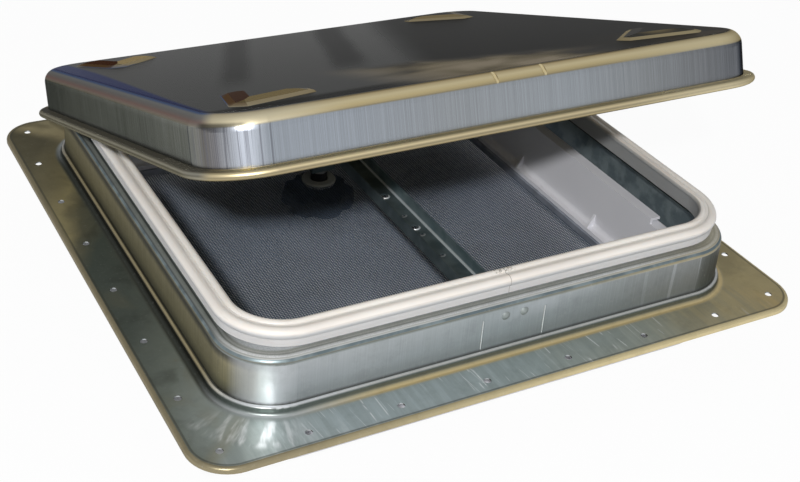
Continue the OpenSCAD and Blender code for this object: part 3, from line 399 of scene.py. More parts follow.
# Curb: colours along its front from the left and up its left side, and its grain, clouds and streaks
CURB_FRONT = ((-0.2, (0.35, 0.37, 0.38)), (-0.12, (0.37, 0.4, 0.41)), (0.0, (0.28, 0.33, 0.34)),
              (0.12, (0.17, 0.19, 0.185)), (0.2, (0.08, 0.083, 0.07)))
CURB_LEFT = ((0.006, (0.05, 0.05, 0.04)), (0.011, (0.17, 0.16, 0.105)), (0.016, (0.27, 0.245, 0.15)),
             (0.029, (0.31, 0.28, 0.175)), (0.033, (0.12, 0.115, 0.09)), (0.037, (0.055, 0.06, 0.055)))
CURB_GRAIN_EDGE = (0.35, 0.75)
CURB_LEFT_GRAIN_EDGE = (0.45, 0.7)
CURB_SHADE_Z = (0.02, 0.008)
CURB_CLOUDS = (0.48, 0.66)
CURB_CLOUD_Z = (0.02, 0.032)
STREAK_FINENESS = (170.0, 12.0)
CURB_STREAK_EDGE = (0.62, 0.7)
CURB_STREAK_X = (0.08, 0.15)
CURB_LEFT_TURN = (-0.25, -0.8)

# The painted highlight on the front left corner, and the way it faces
CURB_GLINT = (0.55, 0.57, 0.59)
GLINT_FACING = (-0.5, -0.866)
GLINT_TURN = (0.78, 1.0)


def curb_colour(shade, x, z, nx, ny, grain, cloud):
    """The curb's outside: drawing marks, painted reflection and shade darker to the right, low down and on
    the left, and a painted highlight on the front left corner.
    """
    # Painted reflection: the front fades from pale at the left to dark at the right
    front = shade.ramp(x, CURB_FRONT)
    front = drawn(shade, front, grain, CURB_GRAIN_EDGE, dark=0.12, pale=0.1, sheen=SILVER)
    # Painted shade: darker towards the bottom
    front = shade.over(front, SLATE, shade.step(z, *CURB_SHADE_Z), share=0.45)
    # Painted reflection: pale clouds near the top
    clouds = shade.times(shade.step(cloud, *CURB_CLOUDS), shade.step(z, *CURB_CLOUD_Z))
    front = shade.over(front, SILVER, clouds, share=0.4)
    streaks = shade.join(shade.times(x, STREAK_FINENESS[0]), 0.0, shade.times(z, STREAK_FINENESS[1]))
    streaks = shade.step(shade.noise(streaks, detail=1.0), *CURB_STREAK_EDGE)
    front = shade.over(front, SILVER, streaks, shade.step(x, *CURB_STREAK_X), share=0.4)
    # Painted shade and reflection: the left side dark at its foot and top, olive between
    side = shade.ramp(z, CURB_LEFT)
    side = shade.over(side, NEAR_BLACK, shade.step(grain, *CURB_LEFT_GRAIN_EDGE), share=0.3)
    colour = shade.mix(shade.step(nx, *CURB_LEFT_TURN), front, side)
    # Painted highlight where the corner faces the front left
    facing = shade.plus(shade.times(nx, GLINT_FACING[0]), shade.times(ny, GLINT_FACING[1]))
    return shade.over(colour, CURB_GLINT, shade.step(facing, *GLINT_TURN), share=0.7)


# Ledge: painted reflection stripes outwards from the seal, in front and on the left
LEDGE_FRONT = ((-0.0105, (0.85, 0.87, 0.88)), (-0.0086, (0.5, 0.51, 0.46)), (-0.007, (0.66, 0.66, 0.62)),
               (-0.0058, (0.38, 0.39, 0.35)), (-0.0048, (0.8, 0.81, 0.8)))
LEDGE_LEFT = ((-0.0105, (0.42, 0.46, 0.45)), (-0.0086, (0.07, 0.08, 0.075)), (-0.007, (0.28, 0.32, 0.3)),
              (-0.0058, (0.06, 0.065, 0.06)), (-0.0048, (0.3, 0.32, 0.29)))
LEDGE_TAN, LEDGE_TAN_X = (0.5, 0.45, 0.31), (0.08, 0.2)
LEDGE_SPECKLES = (0.45, 0.65)


def ledge_colour(shade, vector, reach, x, left):
    """Painted reflection stripes along the ledge: pale in front, dark on the left and tan to the right."""
    speckle = shade.noise(vector, scale=1300.0, detail=3.0)
    colour = shade.mix(left, shade.ramp(reach, LEDGE_FRONT), shade.ramp(reach, LEDGE_LEFT))
    colour = shade.over(colour, LEDGE_TAN, shade.step(x, *LEDGE_TAN_X), share=0.7)
    return shade.over(colour, SLATE, shade.step(speckle, *LEDGE_SPECKLES), share=0.15)


# Shoulder: painted reflection lines as it turns from the wall to the ledge, in front and on the left
SHOULDER_FRONT = ((0.1, (0.3, 0.33, 0.33)), (0.35, (0.17, 0.18, 0.16)), (0.6, (0.46, 0.42, 0.3)),
                  (0.8, (0.72, 0.72, 0.69)), (0.95, (0.36, 0.37, 0.34)))
SHOULDER_LEFT = ((0.1, (0.06, 0.06, 0.05)), (0.4, OLIVE), (0.6, (0.3, 0.27, 0.17)),
                 (0.8, (0.06, 0.065, 0.06)), (0.95, (0.3, 0.32, 0.3)))
SHOULDER_TAN_X = (0.0, 0.15)


def shoulder_colour(shade, x, nz, left):
    """The curb's shoulder in painted reflection lines: a dark line over a tan one in front, olive and black
    on the left.
    """
    front = shade.over(shade.ramp(nz, SHOULDER_FRONT), TAN, shade.step(x, *SHOULDER_TAN_X), share=0.6)
    return shade.mix(left, front, shade.ramp(nz, SHOULDER_LEFT))


# Foot bead: painted highlight lines and crease shade outwards from the curb, at the front's left, along the
# rest of the front and on the left
FOOT_SILVER = ((0.0, NEAR_BLACK), (0.0006, (0.2, 0.21, 0.2)), (0.0011, (0.8, 0.82, 0.84)),
               (0.0021, (0.7, 0.72, 0.73)), (0.0029, SLATE), (0.0048, (0.5, 0.53, 0.53)),
               (0.0088, (0.42, 0.46, 0.45)))
FOOT_GOLD = ((0.0, NEAR_BLACK), (0.0006, (0.2, 0.21, 0.2)), (0.0011, (0.66, 0.67, 0.66)),
             (0.0021, (0.55, 0.55, 0.52)), (0.0029, SLATE), (0.0036, (0.4, 0.34, 0.2)), (0.0048, GOLD),
             (0.0068, GOLD), (0.0088, (0.42, 0.42, 0.35)))
FOOT_LEFT = ((0.0, NEAR_BLACK), (0.0007, OLIVE), (0.0013, (0.55, 0.47, 0.29)), (0.0022, (0.4, 0.34, 0.2)),
             (0.0029, NEAR_BLACK), (0.0048, (0.06, 0.065, 0.055)), (0.0088, (0.15, 0.16, 0.13)))
FOOT_GOLD_X = (-0.17, -0.09)


def foot_colour(shade, x, reach, left):
    """The bead round the curb's foot, with painted highlights and painted shade in its creases: silver on top
    and gold at its toe in front, a tan line on the left.
    """
    gold = shade.ramp(reach, FOOT_GOLD)
    front = shade.mix(shade.step(x, *FOOT_GOLD_X), shade.ramp(reach, FOOT_SILVER), gold)
    return shade.mix(left, front, shade.ramp(reach, FOOT_LEFT))


# Where the base's regions meet: heights, distances out from the curb's wall, and slopes as the normal's rise
BASE_LEFT = (0.0, -0.06)
LEDGE_RISE = (0.03, 0.034)
FACING_UP = (0.5, 0.9)
FOOT_HEIGHT = (FOOT_Z + 0.0025, FOOT_Z + 0.0004)
FOOT_START = (-0.0003, 0.0003)
FOOT_END = (FOOT_REACH + 0.003, FOOT_REACH)
SHOULDER_HEIGHT = (LEDGE_Z - 0.005, LEDGE_Z - 0.004)
SHOULDER_FLAT = (0.97, 0.9)
SHOULDER_STEEP = (0.0, 0.15)
SHOULDER_START = (-0.006, -0.004)
INSIDE_START = (-0.0004, -0.0006)
INSIDE_HEIGHT = (LEDGE_Z - 0.0007, LEDGE_Z - 0.0011)

# Inside of the curb in darker teal as painted shade, the flange's rolled lip with the groove before it
# painted dark as shade, and marks all over
TEAL_DARK, TEAL_PALE, TEAL_CLOUDS = (0.15, 0.19, 0.205), (0.24, 0.29, 0.3), (0.42, 0.62)
LIP_LEFT, LIP_RIGHT, LIP_X = (0.28, 0.24, 0.15), (0.64, 0.54, 0.31), (-0.24, 0.1)
LIP_START = (-0.003, -0.0022)
GROOVE, GROOVE_AT = (0.09, 0.09, 0.07), (-0.0036, 0.0004, 0.0006)
MOTTLE, MOTTLES = (0.02, 0.025, 0.02), (0.45, 0.7)
MOTTLE_DEPTH = 0.5
SPECK, SPECKS = (0.6, 0.6, 0.55), (0.6, 0.8)
BASE_ROUGH, BASE_ROUGH_MOTTLE = 0.24, 0.25
BASE_EDGE_TINT = (0.3, 0.3, 0.3)


def galvanised_base():
    """Galvanised sheet, whose flange, foot, curb, shoulder, ledge and inside have tones of their own, much of
    them painted reflection and shade.
    """
    shade = Shade("galvanised_base")
    vector, normal = shade.place()
    x, y, z = shade.split(vector)
    nx, ny, nz = shade.split(normal)
    cloud = shade.noise(vector, scale=9.0, detail=4.0)
    grain = wall_grain(shade, vector, CURB_GRAIN)
    reach = shade.outside(x, y, CURB_HALF, CURB_R)
    edge = shade.outside(x, y, FLANGE_HALF, FLANGE_R)
    left = shade.step(shade.plus(shade.size(y), x), *BASE_LEFT)
    flange = flange_colour(shade, vector, reach, cloud)
    tops = shade.mix(shade.step(z, *LEDGE_RISE), flange, ledge_colour(shade, vector, reach, x, left))
    curb = curb_colour(shade, x, z, nx, ny, grain, cloud)
    colour = shade.mix(shade.step(nz, *FACING_UP), curb, tops)
    foot = shade.times(shade.step(z, *FOOT_HEIGHT), shade.step(reach, *FOOT_START),
                       shade.step(reach, *FOOT_END))
    colour = shade.mix(foot, colour, foot_colour(shade, x, reach, left))
    shoulder = shade.times(shade.step(z, *SHOULDER_HEIGHT), shade.step(nz, *SHOULDER_FLAT),
                           shade.step(nz, *SHOULDER_STEEP), shade.step(reach, *SHOULDER_START))
    colour = shade.mix(shoulder, colour, shoulder_colour(shade, x, nz, left))
    # Painted shade: the curb's inside darker teal, in random patches
    inside = shade.times(shade.step(reach, *INSIDE_START), shade.step(z, *INSIDE_HEIGHT))
    patches = shade.noise(vector, scale=60.0, detail=5.0)
    colour = shade.mix(inside, colour, shade.mix(shade.step(patches, *TEAL_CLOUDS), TEAL_DARK, TEAL_PALE))
    # Painted shade in the groove before the lip
    colour = shade.over(colour, GROOVE, shade.band(edge, *GROOVE_AT), share=0.6)
    lip = shade.mix(shade.step(x, *LIP_X), LIP_LEFT, LIP_RIGHT)
    colour = shade.mix(shade.step(edge, *LIP_START), colour, lip)
    mottle = shade.noise(vector, scale=75.0, detail=6.0, rough=0.65)
    darker = shade.mix(MOTTLE_DEPTH, colour, MOTTLE)
    colour = shade.over(colour, darker, shade.step(mottle, *MOTTLES), share=0.22)
    speck = shade.noise(vector, scale=420.0, detail=2.0)
    colour = shade.over(colour, SPECK, shade.step(speck, *SPECKS), share=0.12)
    rough = shade.scaled(mottle, BASE_ROUGH_MOTTLE, BASE_ROUGH)
    marks = shade.times(grain, shade.step(nz, *OFF_TOPS))
    return shade.finish(colour, rough, bump=marks, height=0.00006, Metallic=0.6, Specular_Tint=BASE_EDGE_TINT)


# Lid's walls: colours along the front from the left, and round the front left corner from the front, as
# painted reflection with a painted highlight and a dark band at the corner
LID_FRONT = ((-0.17, (0.57, 0.62, 0.68)), (-0.13, (0.57, 0.62, 0.68)), (-0.05, (0.52, 0.55, 0.57)),
             (0.04, (0.54, 0.58, 0.61)), (0.1, (0.42, 0.44, 0.45)), (0.15, (0.3, 0.31, 0.32)),
             (0.19, (0.17, 0.18, 0.2)), (0.205, (0.09, 0.095, 0.1)))
LID_CORNER = ((-0.036, (0.57, 0.62, 0.68)), (-0.028, (0.75, 0.8, 0.88)), (-0.016, (0.85, 0.9, 1.0)),
              (-0.004, (0.5, 0.52, 0.56)), (0.006, (0.2, 0.195, 0.205)), (0.018, (0.13, 0.12, 0.1)),
              (0.03, (0.27, 0.275, 0.25)), (0.036, (0.36, 0.37, 0.34)))
LID_WALL, LID_SHEEN = (0.52, 0.54, 0.56), (0.9, 0.93, 1.0)
# Painted reflection: the left walls olive grey, darker than the front
LID_LEFT_DARK, LID_LEFT_PALE = (0.34, 0.35, 0.32), (0.39, 0.4, 0.365)
LID_FRONT_TURN = (-0.3, -0.7)
LID_LEFT_TURN = (-0.5, -0.93)
LID_CORNER_AT = (-LID_TURN + 0.004, -LID_TURN)
LID_GRAIN_EDGE = (0.3, 0.75)
CORNER_STREAK, CORNER_STREAKS = (0.1, 0.1, 0.13), (0.5, 0.62)


def lid_walls(shade, vector, normal, wide, grain, cloud):
    """Silver with drawing marks; painted reflection darkens the front's right end, makes the left olive grey
    and the front left corner both dark and bright.
    """
    x, y = shade.split(vector)[:2]
    nx, ny = shade.split(normal)[:2]
    colour = shade.mix(shade.step(ny, *LID_FRONT_TURN), LID_WALL, shade.ramp(x, LID_FRONT))
    side = shade.mix(shade.step(cloud, *CLOUDS), LID_LEFT_DARK, LID_LEFT_PALE)
    colour = shade.mix(shade.step(nx, *LID_LEFT_TURN), colour, side)
    streaks = shade.step(wall_grain(shade, vector, LID_BROAD_GRAIN), *CORNER_STREAKS)
    corner = shade.over(shade.ramp(wide, LID_CORNER), CORNER_STREAK, streaks, share=0.5)
    turning = shade.times(shade.step(x, *LID_CORNER_AT), shade.step(y, *LID_CORNER_AT))
    colour = shade.mix(turning, colour, corner)
    return drawn(shade, colour, grain, LID_GRAIN_EDGE, dark=0.2, pale=0.12, sheen=LID_SHEEN)


# Lid's top edge: painted reflection bands as it turns from the wall to the top, also on the left, and painted
# highlights at its ends
EDGE_GOLD = ((0.3, (0.42, 0.35, 0.21)), (0.5, (0.72, 0.59, 0.32)), (0.72, (1.0, 0.86, 0.53)),
             (0.9, (0.9, 0.74, 0.44)), (0.97, (0.4, 0.31, 0.17)))
EDGE_STRIPES = ((0.1, (0.5, 0.47, 0.4)), (0.3, (0.35, 0.33, 0.28)), (0.55, (0.4, 0.3, 0.27)),
                (0.75, (0.42, 0.4, 0.38)), (0.88, (0.5, 0.5, 0.48)), (0.97, (0.2, 0.3, 0.55)))
EDGE_RIGHT, RIGHT_END = (1.0, 0.88, 0.58), (0.05, 0.16)
EDGE_LEFT, LEFT_END = (1.0, 0.92, 0.7), (-0.11, -0.17)
CORNER_DARK_REFLECTION_WIDTH = (0.0, 0.016, 0.01)
CORNER_DARK_REFLECTION_TURN = (0.6, 0.4)


def lid_edge(shade, x, y, nz, wide, left):
    """Painted reflections: gold bands, highlights at both ends, stripes on the left and a dark patch at the
    front left corner.
    """
    gold = shade.over(shade.ramp(nz, EDGE_GOLD), EDGE_RIGHT, shade.step(x, *RIGHT_END), share=0.5)
    gold = shade.over(gold, EDGE_LEFT, shade.step(x, *LEFT_END), share=0.55)
    colour = shade.mix(left, gold, shade.ramp(nz, EDGE_STRIPES))
    # Painted dark reflection just below the edge at the front left corner
    corner_dark_reflection = shade.times(shade.band(wide, *CORNER_DARK_REFLECTION_WIDTH), shade.step(x, *NEAR_HALF), shade.step(y, *NEAR_HALF))
    return shade.over(colour, NEAR_BLACK, corner_dark_reflection, shade.step(nz, *CORNER_DARK_REFLECTION_TURN), share=0.75)


# Lid's rim: painted reflection bands up it, and along the left
RIM_GOLD = ((RIM_LOW, (0.22, 0.19, 0.12)), (0.0226, (0.5, 0.42, 0.25)), (0.0238, (0.32, 0.27, 0.17)),
            (0.0252, (0.9, 0.76, 0.47)), (0.0263, (0.7, 0.59, 0.36)), (RIM_TOP, (0.5, 0.43, 0.27)))
RIM_DARK = ((RIM_LOW, (0.16, 0.15, 0.12)), (0.0232, (0.38, 0.36, 0.28)), (0.0246, (0.2, 0.19, 0.15)),
            (0.0258, (0.6, 0.57, 0.47)), (RIM_TOP, (0.3, 0.28, 0.22)))
RIM_RIGHT = (1.0, 0.9, 0.62)
RIM_HEIGHT = (RIM_TOP + 0.0006, RIM_TOP)


def lid_rim(shade, x, z, left):
    """Painted reflection bands in gold, with a painted highlight to the right, and darker on the left."""
    gold = shade.over(shade.ramp(z, RIM_GOLD), RIM_RIGHT, shade.step(x, *RIGHT_END), share=0.4)
    return shade.mix(left, gold, shade.ramp(z, RIM_DARK))


# Lid's top: slanted bands of painted dark reflection, each with its share, the painted dark right part and a
# warm painted reflection
SLANT = 0.4
SLANT_WANDER = 0.006
DULL_DARK_REFLECTION_BANDS = (((-0.108, 0.003, 0.014), 0.45), ((-0.022, 0.004, 0.016), 0.65))
DULL_DARK_REFLECTION_BANDS_Y = (-0.12, -0.03)
DULL_DARK_REFLECTION_RIGHT = (0.008, 0.045)
WARM_WANDER = 0.05
WARM_FRONT = (-0.075, -0.11)
WARM_X = (0.01, 0.03, 0.07)


def lid_dull_dark_reflection(shade, x, y, cloud):
    """Two soft bands of painted dark reflection that run from the back, and the painted dark right part."""
    slant = shade.minus(x, shade.times(y, SLANT))
    slant = shade.plus(slant, shade.scaled(cloud, SLANT_WANDER, -SLANT_WANDER / 2))
    bands = shade.most(*[shade.times(shade.band(slant, *place), share) for place, share in DULL_DARK_REFLECTION_BANDS])
    return shade.most(shade.times(bands, shade.step(y, *DULL_DARK_REFLECTION_BANDS_Y)), shade.step(slant, *DULL_DARK_REFLECTION_RIGHT))


def lid_warmth(shade, x, y, cloud):
    """A warm painted reflection near the front edge's middle."""
    ahead = shade.plus(y, shade.scaled(x, SLANT, shade.times(cloud, WARM_WANDER)))
    return shade.times(shade.step(ahead, *WARM_FRONT), shade.band(x, *WARM_X))


# Edge tints of the lid: the metal's colour where it is seen at a flat angle, with painted reflections in it
TINT_WALL = (0.05, 0.05, 0.05)
TINT_SILVER = (0.065, 0.065, 0.063)
TINT_DARK_REFLECTION = (0.0, 0.0, 0.0)
TINT_UMBER = ((0.35, (0.03, 0.02, 0.005)), (0.46, (0.17, 0.135, 0.075)), (0.6, (0.3, 0.245, 0.165)))
TINT_GLOW, GLOW_X, GLOW_Y, GLOW_PATCHES = (0.085, 0.062, 0.03), (0.07, 0.13), (-0.11, -0.17), (0.4, 0.6)
TINT_WEDGE, WEDGE_X, WEDGE_Y = (0.004, 0.003, 0.0), (-0.05, -0.09), (-0.17, -0.185)
TINT_NAVY, NAVY_EDGE = (0.0, 0.012, 0.085), (0.002, -0.002)
PATCH_STRETCH = 1.3

# The navy painted reflection strip's border: its x in front, how far it moves to the right, and over which y
BORDER_X, BORDER_MOVE, BORDER_Y = -0.194, 0.013, (-0.19, 0.14)


def lid_tint(shade, x, y, dull_dark_reflection, warm):
    """Edge tint of the lid's top: silver, with painted reflections: dark in the dark bands, a navy strip at
    the left, umber and a gold glow in front, a dark wedge at the front left.
    """
    tint = shade.mix(dull_dark_reflection, TINT_SILVER, TINT_DARK_REFLECTION)
    patches = shade.join(x, shade.times(y, PATCH_STRETCH))
    patches = shade.noise(patches, scale=16.0, detail=2.0, distortion=0.3)
    tint = shade.mix(warm, tint, shade.ramp(patches, TINT_UMBER))
    glow = shade.times(shade.step(x, *GLOW_X), shade.step(y, *GLOW_Y), shade.step(patches, *GLOW_PATCHES))
    tint = shade.mix(glow, tint, TINT_GLOW)
    wedge = shade.times(shade.step(y, *WEDGE_Y), shade.step(x, *WEDGE_X))
    tint = shade.mix(wedge, tint, TINT_WEDGE)
    border = shade.scaled(shade.step(y, *BORDER_Y), BORDER_MOVE, BORDER_X)
    return shade.mix(shade.step(shade.minus(x, border), *NAVY_EDGE), tint, TINT_NAVY)


# Lid's corner pads: rise, edge, shift of the front right one, and colour, tint and slope of their facets,
# whose tan and brown are painted reflections
PAD_RISE = (LID_TOP + 0.0001, LID_TOP + 0.0003)
PAD_EDGE = (1.25 * PAD_R, 0.7 * PAD_R)
PAD_SHIFT = 0.62 * PAD_R
PAD_TAN, PAD_TAN_TINT, PAD_TAN_TURN = (0.66, 0.56, 0.37), (0.42, 0.35, 0.23), (-0.02, -0.09)
PAD_BROWN, PAD_BROWN_TINT, PAD_BROWN_TURN = (0.3, 0.2, 0.11), (0.1, 0.06, 0.03), (-0.06, -0.2)


def pad_mask(shade, x, y, z):
    """1 on the raised pads."""
    from_pad = shade.length(shade.minus(shade.size(x), PAD_AT), shade.minus(shade.size(y), PAD_AT))
    front_right = shade.times(shade.step(x, *FAR_HALF), shade.step(y, *NEAR_HALF))
    from_pad = shade.scaled(front_right, PAD_SHIFT, from_pad)
    return shade.times(shade.step(z, *PAD_RISE), shade.step(from_pad, *PAD_EDGE))


# Lid's regions by the normal's rise, its left side, its top's silver and painted dark reflection colours, and
# its roughness
LID_LEFT = (0.006, 0.022)
LID_FLAT = (0.96, 0.99)
EDGE_TURN = (0.22, 0.34)
ROLLED_TURN = (0.25, 0.4)
BELOW_TURN = (-0.4, -0.8)
BELOW_DARK = (0.36, 0.3, 0.17)
TOP_SILVER, TOP_DARK_REFLECTION = (0.6, 0.605, 0.6), (0.31, 0.308, 0.295)
WARM_CLEARS = 0.8
LID_ROUGH, DULL_ROUGHER, ROLLED_ROUGHER = 0.25, 0.08, 0.22


def bright_lid():
    """Bright pressed sheet, brassy below, with painted reflections on its top, edge, rim, walls and pads."""
    shade = Shade("bright_lid")
    vector, normal = shade.place(lid=True)
    x, y, z = shade.split(vector)
    nx, ny, nz = shade.split(normal)
    wide = diagonal(shade, x, y)
    grain = wall_grain(shade, vector, LID_GRAIN)
    cloud = shade.noise(vector, scale=9.0, detail=3.0, distortion=0.6)
    left = shade.times(shade.step(wide, *LID_LEFT), shade.step(x, *NEAR_HALF))
    flat = shade.step(nz, *LID_FLAT)
    walls = lid_walls(shade, vector, normal, wide, grain, cloud)
    colour = shade.mix(shade.step(nz, *EDGE_TURN), walls, lid_edge(shade, x, y, nz, wide, left))
    below = shade.mix(shade.step(cloud, *CLOUDS), BELOW_DARK, TAN)
    colour = shade.mix(shade.step(nz, *BELOW_TURN), colour, below)
    warm = lid_warmth(shade, x, y, cloud)
    # Painted dark reflection, cleared where the warm painted reflection lies; the same mask makes the top
    # rougher below
    dull_dark_reflection = shade.times(lid_dull_dark_reflection(shade, x, y, cloud), shade.scaled(warm, -WARM_CLEARS, 1.0))
    top = shade.mix(dull_dark_reflection, TOP_SILVER, TOP_DARK_REFLECTION)
    colour = shade.mix(flat, colour, top)
    pad = pad_mask(shade, x, y, z)
    # Painted reflections on the pads' facets: tan facing the front, brown facing left
    tan = shade.step(ny, *PAD_TAN_TURN)
    brown = shade.times(shade.step(nx, *PAD_BROWN_TURN), shade.step(x, *NEAR_HALF))
    colour = shade.mix(pad, colour, shade.mix(brown, shade.mix(tan, top, PAD_TAN), PAD_BROWN))
    rim = shade.step(z, *RIM_HEIGHT)
    colour = shade.mix(rim, colour, lid_rim(shade, x, z, left))
    rolled = shade.most(rim, shade.times(shade.step(nz, *ROLLED_TURN), shade.rest(flat)))
    rough = shade.scaled(shade.times(dull_dark_reflection, flat), DULL_ROUGHER, LID_ROUGH)
    rough = shade.scaled(rolled, ROLLED_ROUGHER, rough)
    top_tint = lid_tint(shade, x, y, dull_dark_reflection, warm)
    pad_tint = shade.mix(brown, shade.mix(tan, top_tint, PAD_TAN_TINT), PAD_BROWN_TINT)
    tint = shade.mix(pad, shade.mix(flat, TINT_WALL, top_tint), pad_tint)
    marks = shade.times(grain, shade.step(nz, *OFF_TOPS))
    return shade.finish(colour, rough, bump=marks, height=0.0001, strength=0.2, Metallic=1.0,
                        Specular_Tint=tint)


# Plain metals: fineness of their clouds and specks, and how much rougher a cloud is
METAL_CLOUD = 60.0
METAL_SPECK = 840.0
METAL_ROUGHER = 0.2


def plain_metal(name, dark, light, rough, metallic):
    shade = Shade(name)
    vector = shade.place()[0]
    cloud = shade.noise(vector, scale=METAL_CLOUD, detail=4.0)
    speck = shade.noise(vector, scale=METAL_SPECK, detail=2.0)
    colour = shade.mix(shade.step(cloud, *CLOUDS), dark, light)
    rough = shade.scaled(cloud, METAL_ROUGHER, rough)
    return shade.finish(colour, rough, bump=speck, height=0.00006, Metallic=metallic)


# Cross channel: its web's height, its right wall painted lighter as painted reflection, and a painted
# highlight along its inside fold
CHANNEL_Z = 0.0177
FOLD_X = 0.0085
WALL_X = (FOLD_X, FOLD_X + 0.001)
WALL_Z = (CHANNEL_Z + 0.0008, CHANNEL_Z + 0.0016)
WALL_DARK, WALL_PALE, WALL_CLOUDS = (0.18, 0.25, 0.27), (0.25, 0.32, 0.34), (0.4, 0.6)
FOLD, FOLD_AT, FOLD_Z = (0.85, 0.92, 0.95), (FOLD_X, 0.0005, 0.0005), (CHANNEL_Z + 0.004, CHANNEL_Z + 0.002)
CHANNEL_ROUGH = 0.34

# Holes in its web: y, radius and how bright the painted glint on the rim is, and the rim's place outside the
# hole
WEB_HOLES = ((-0.0128, 0.003, 1.0), (-0.0612, 0.003, 1.0), (-0.0431, 0.00175, 0.45), (-0.0714, 0.00175, 0.45),
             (-0.1011, 0.00175, 0.45))
HOLE_RIM = (0.95, 0.97, 1.0)
HOLE_RIM_OUT, HOLE_RIM_HALF, HOLE_RIM_SOFT = 0.0007, 0.0005, 0.0003
HOLE_RIM_FRONT = (0.001, -0.0015)


def channel_zinc():
    """Dull zinc, with its right wall painted lighter, a painted highlight along the inside fold and painted
    glints on the front rims of the web's holes.
    """
    shade = Shade("channel_zinc")
    vector = shade.place()[0]
    x, y, z = shade.split(vector)
    cloud = shade.noise(vector, scale=60.0, detail=5.0)
    speck = shade.noise(vector, scale=800.0, detail=2.0)
    colour = shade.mix(shade.step(cloud, *CLOUDS), ZINC_DARK, ZINC_PALE)
    wall = shade.times(shade.step(x, *WALL_X), shade.step(z, *WALL_Z))
    colour = shade.mix(wall, colour, shade.mix(shade.step(cloud, *WALL_CLOUDS), WALL_DARK, WALL_PALE))
    fold = shade.times(shade.band(x, *FOLD_AT), shade.step(z, *FOLD_Z))
    colour = shade.mix(fold, colour, FOLD)
    for hole_y, radius, bright in WEB_HOLES:
        ahead = shade.minus(y, hole_y)
        rim = shade.band(shade.length(x, ahead), radius + HOLE_RIM_OUT, HOLE_RIM_HALF, HOLE_RIM_SOFT)
        colour = shade.over(colour, HOLE_RIM, rim, shade.step(ahead, *HOLE_RIM_FRONT), share=bright)
    rough = shade.scaled(cloud, METAL_ROUGHER, CHANNEL_ROUGH)
    return shade.finish(colour, rough, bump=speck, height=0.00006, Metallic=0.75)


# Seal: cream with tan painted reflection lines along it, sides greyed and the inner face darkened as painted
# shade
CREAM_PALE, CREAM_DARK, CREAM_CLOUDS = (0.74, 0.705, 0.655), (0.69, 0.645, 0.595), (0.35, 0.75)
SEAL_LINE, SEAL_LINES = (0.5, 0.42, 0.36), (0.5, 0.66)
SEAL_LINE_FINENESS, SEAL_LINE_WANDER = 420.0, 0.6
SEAL_SIDE, SEAL_SIDE_TURN = (0.44, 0.44, 0.445), (0.5, -0.2)
SEAL_INNER, SEAL_INNER_TURN = (0.22, 0.23, 0.23), (-0.08, -0.16)
SEAL_ROUGH = 0.45
SEAL_GLOW_RADIUS = (0.003, 0.0026, 0.0022)

# Its butt joint in front, with a ragged spot
JOINT = (0.2, 0.17, 0.13)
JOINT_X = -0.004
JOINT_AT = (JOINT_X, 0.00015, 0.0002)
JOINT_FRONT = (-0.15, -0.16)
RAGGED_X = (JOINT_X, 0.006, 0.003)
RAGGED_Y = (-0.184, 0.0012, 0.001)
RAGGED_PORES = (0.5, 0.6)


def seal_vinyl():
    """Cream, with tan painted reflection lines along it, its sides greyed and inner face darkened as painted
    shade, and a butt joint in front.
    """
    shade = Shade("seal_vinyl")
    vector, normal = shade.place()
    x, y, z = shade.split(vector)
    nx, ny, nz = shade.split(normal)
    cloud = shade.noise(vector, scale=16.0, detail=4.0)
    pores = shade.noise(vector, scale=900.0, detail=2.0)
    reach = shade.outside(x, y, CURB_HALF, CURB_R)
    lines = shade.join(shade.times(reach, SEAL_LINE_FINENESS), shade.times(z, SEAL_LINE_FINENESS),
                       shade.times(cloud, SEAL_LINE_WANDER))
    lines = shade.noise(lines, detail=2.0)
    colour = shade.mix(shade.step(cloud, *CREAM_CLOUDS), CREAM_PALE, CREAM_DARK)
    colour = shade.over(colour, SEAL_LINE, shade.step(lines, *SEAL_LINES), share=0.4)
    colour = shade.mix(shade.step(nz, *SEAL_SIDE_TURN), colour, SEAL_SIDE)
    outward = shade.plus(shade.times(x, nx), shade.times(y, ny))
    colour = shade.over(colour, SEAL_INNER, shade.step(outward, *SEAL_INNER_TURN), share=0.7)
    joint = shade.times(shade.band(x, *JOINT_AT), shade.step(y, *JOINT_FRONT))
    ragged = shade.times(shade.band(x, *RAGGED_X), shade.band(y, *RAGGED_Y), shade.step(pores, *RAGGED_PORES))
    colour = shade.over(colour, JOINT, shade.most(joint, ragged), share=0.7)
    return shade.finish(colour, SEAL_ROUGH, bump=pores, height=0.00008, strength=0.2, Subsurface_Weight=0.4,
                        Subsurface_Radius=SEAL_GLOW_RADIUS, Subsurface_Scale=1.0)


# Plastics: where their clouds start and end, and how much rougher a cloud is
PLASTIC_CLOUDS = (0.4, 0.7)
PLASTIC_ROUGHER = 0.12


def moulded_plastic(name, base, tint, rough):
    shade = Shade(name)
    vector = shade.place()[0]
    cloud = shade.noise(vector, scale=12.0, detail=3.0)
    pores = shade.noise(vector, scale=1400.0, detail=1.0)
    colour = shade.mix(shade.step(cloud, *PLASTIC_CLOUDS), base, tint)
    rough = shade.scaled(cloud, PLASTIC_ROUGHER, rough)
    return shade.finish(colour, rough, bump=pores, height=0.00005, strength=0.2)


# Insect mesh: straight strands both ways, one set above the other, left out in a share of the grommet's width
MESH_PITCH = 0.00204
STRAND_W = 0.0007
GROMMET_SHARE = 0.43
# The fibre's colour varies in broad waves, painted shading of the mesh's undulations
FIBRE_DARK, FIBRE_PALE, FIBRE_WAVES = (0.047, 0.068, 0.1), (0.085, 0.115, 0.165), (0.3, 0.7)
FIBRE_ROUGH = 0.5


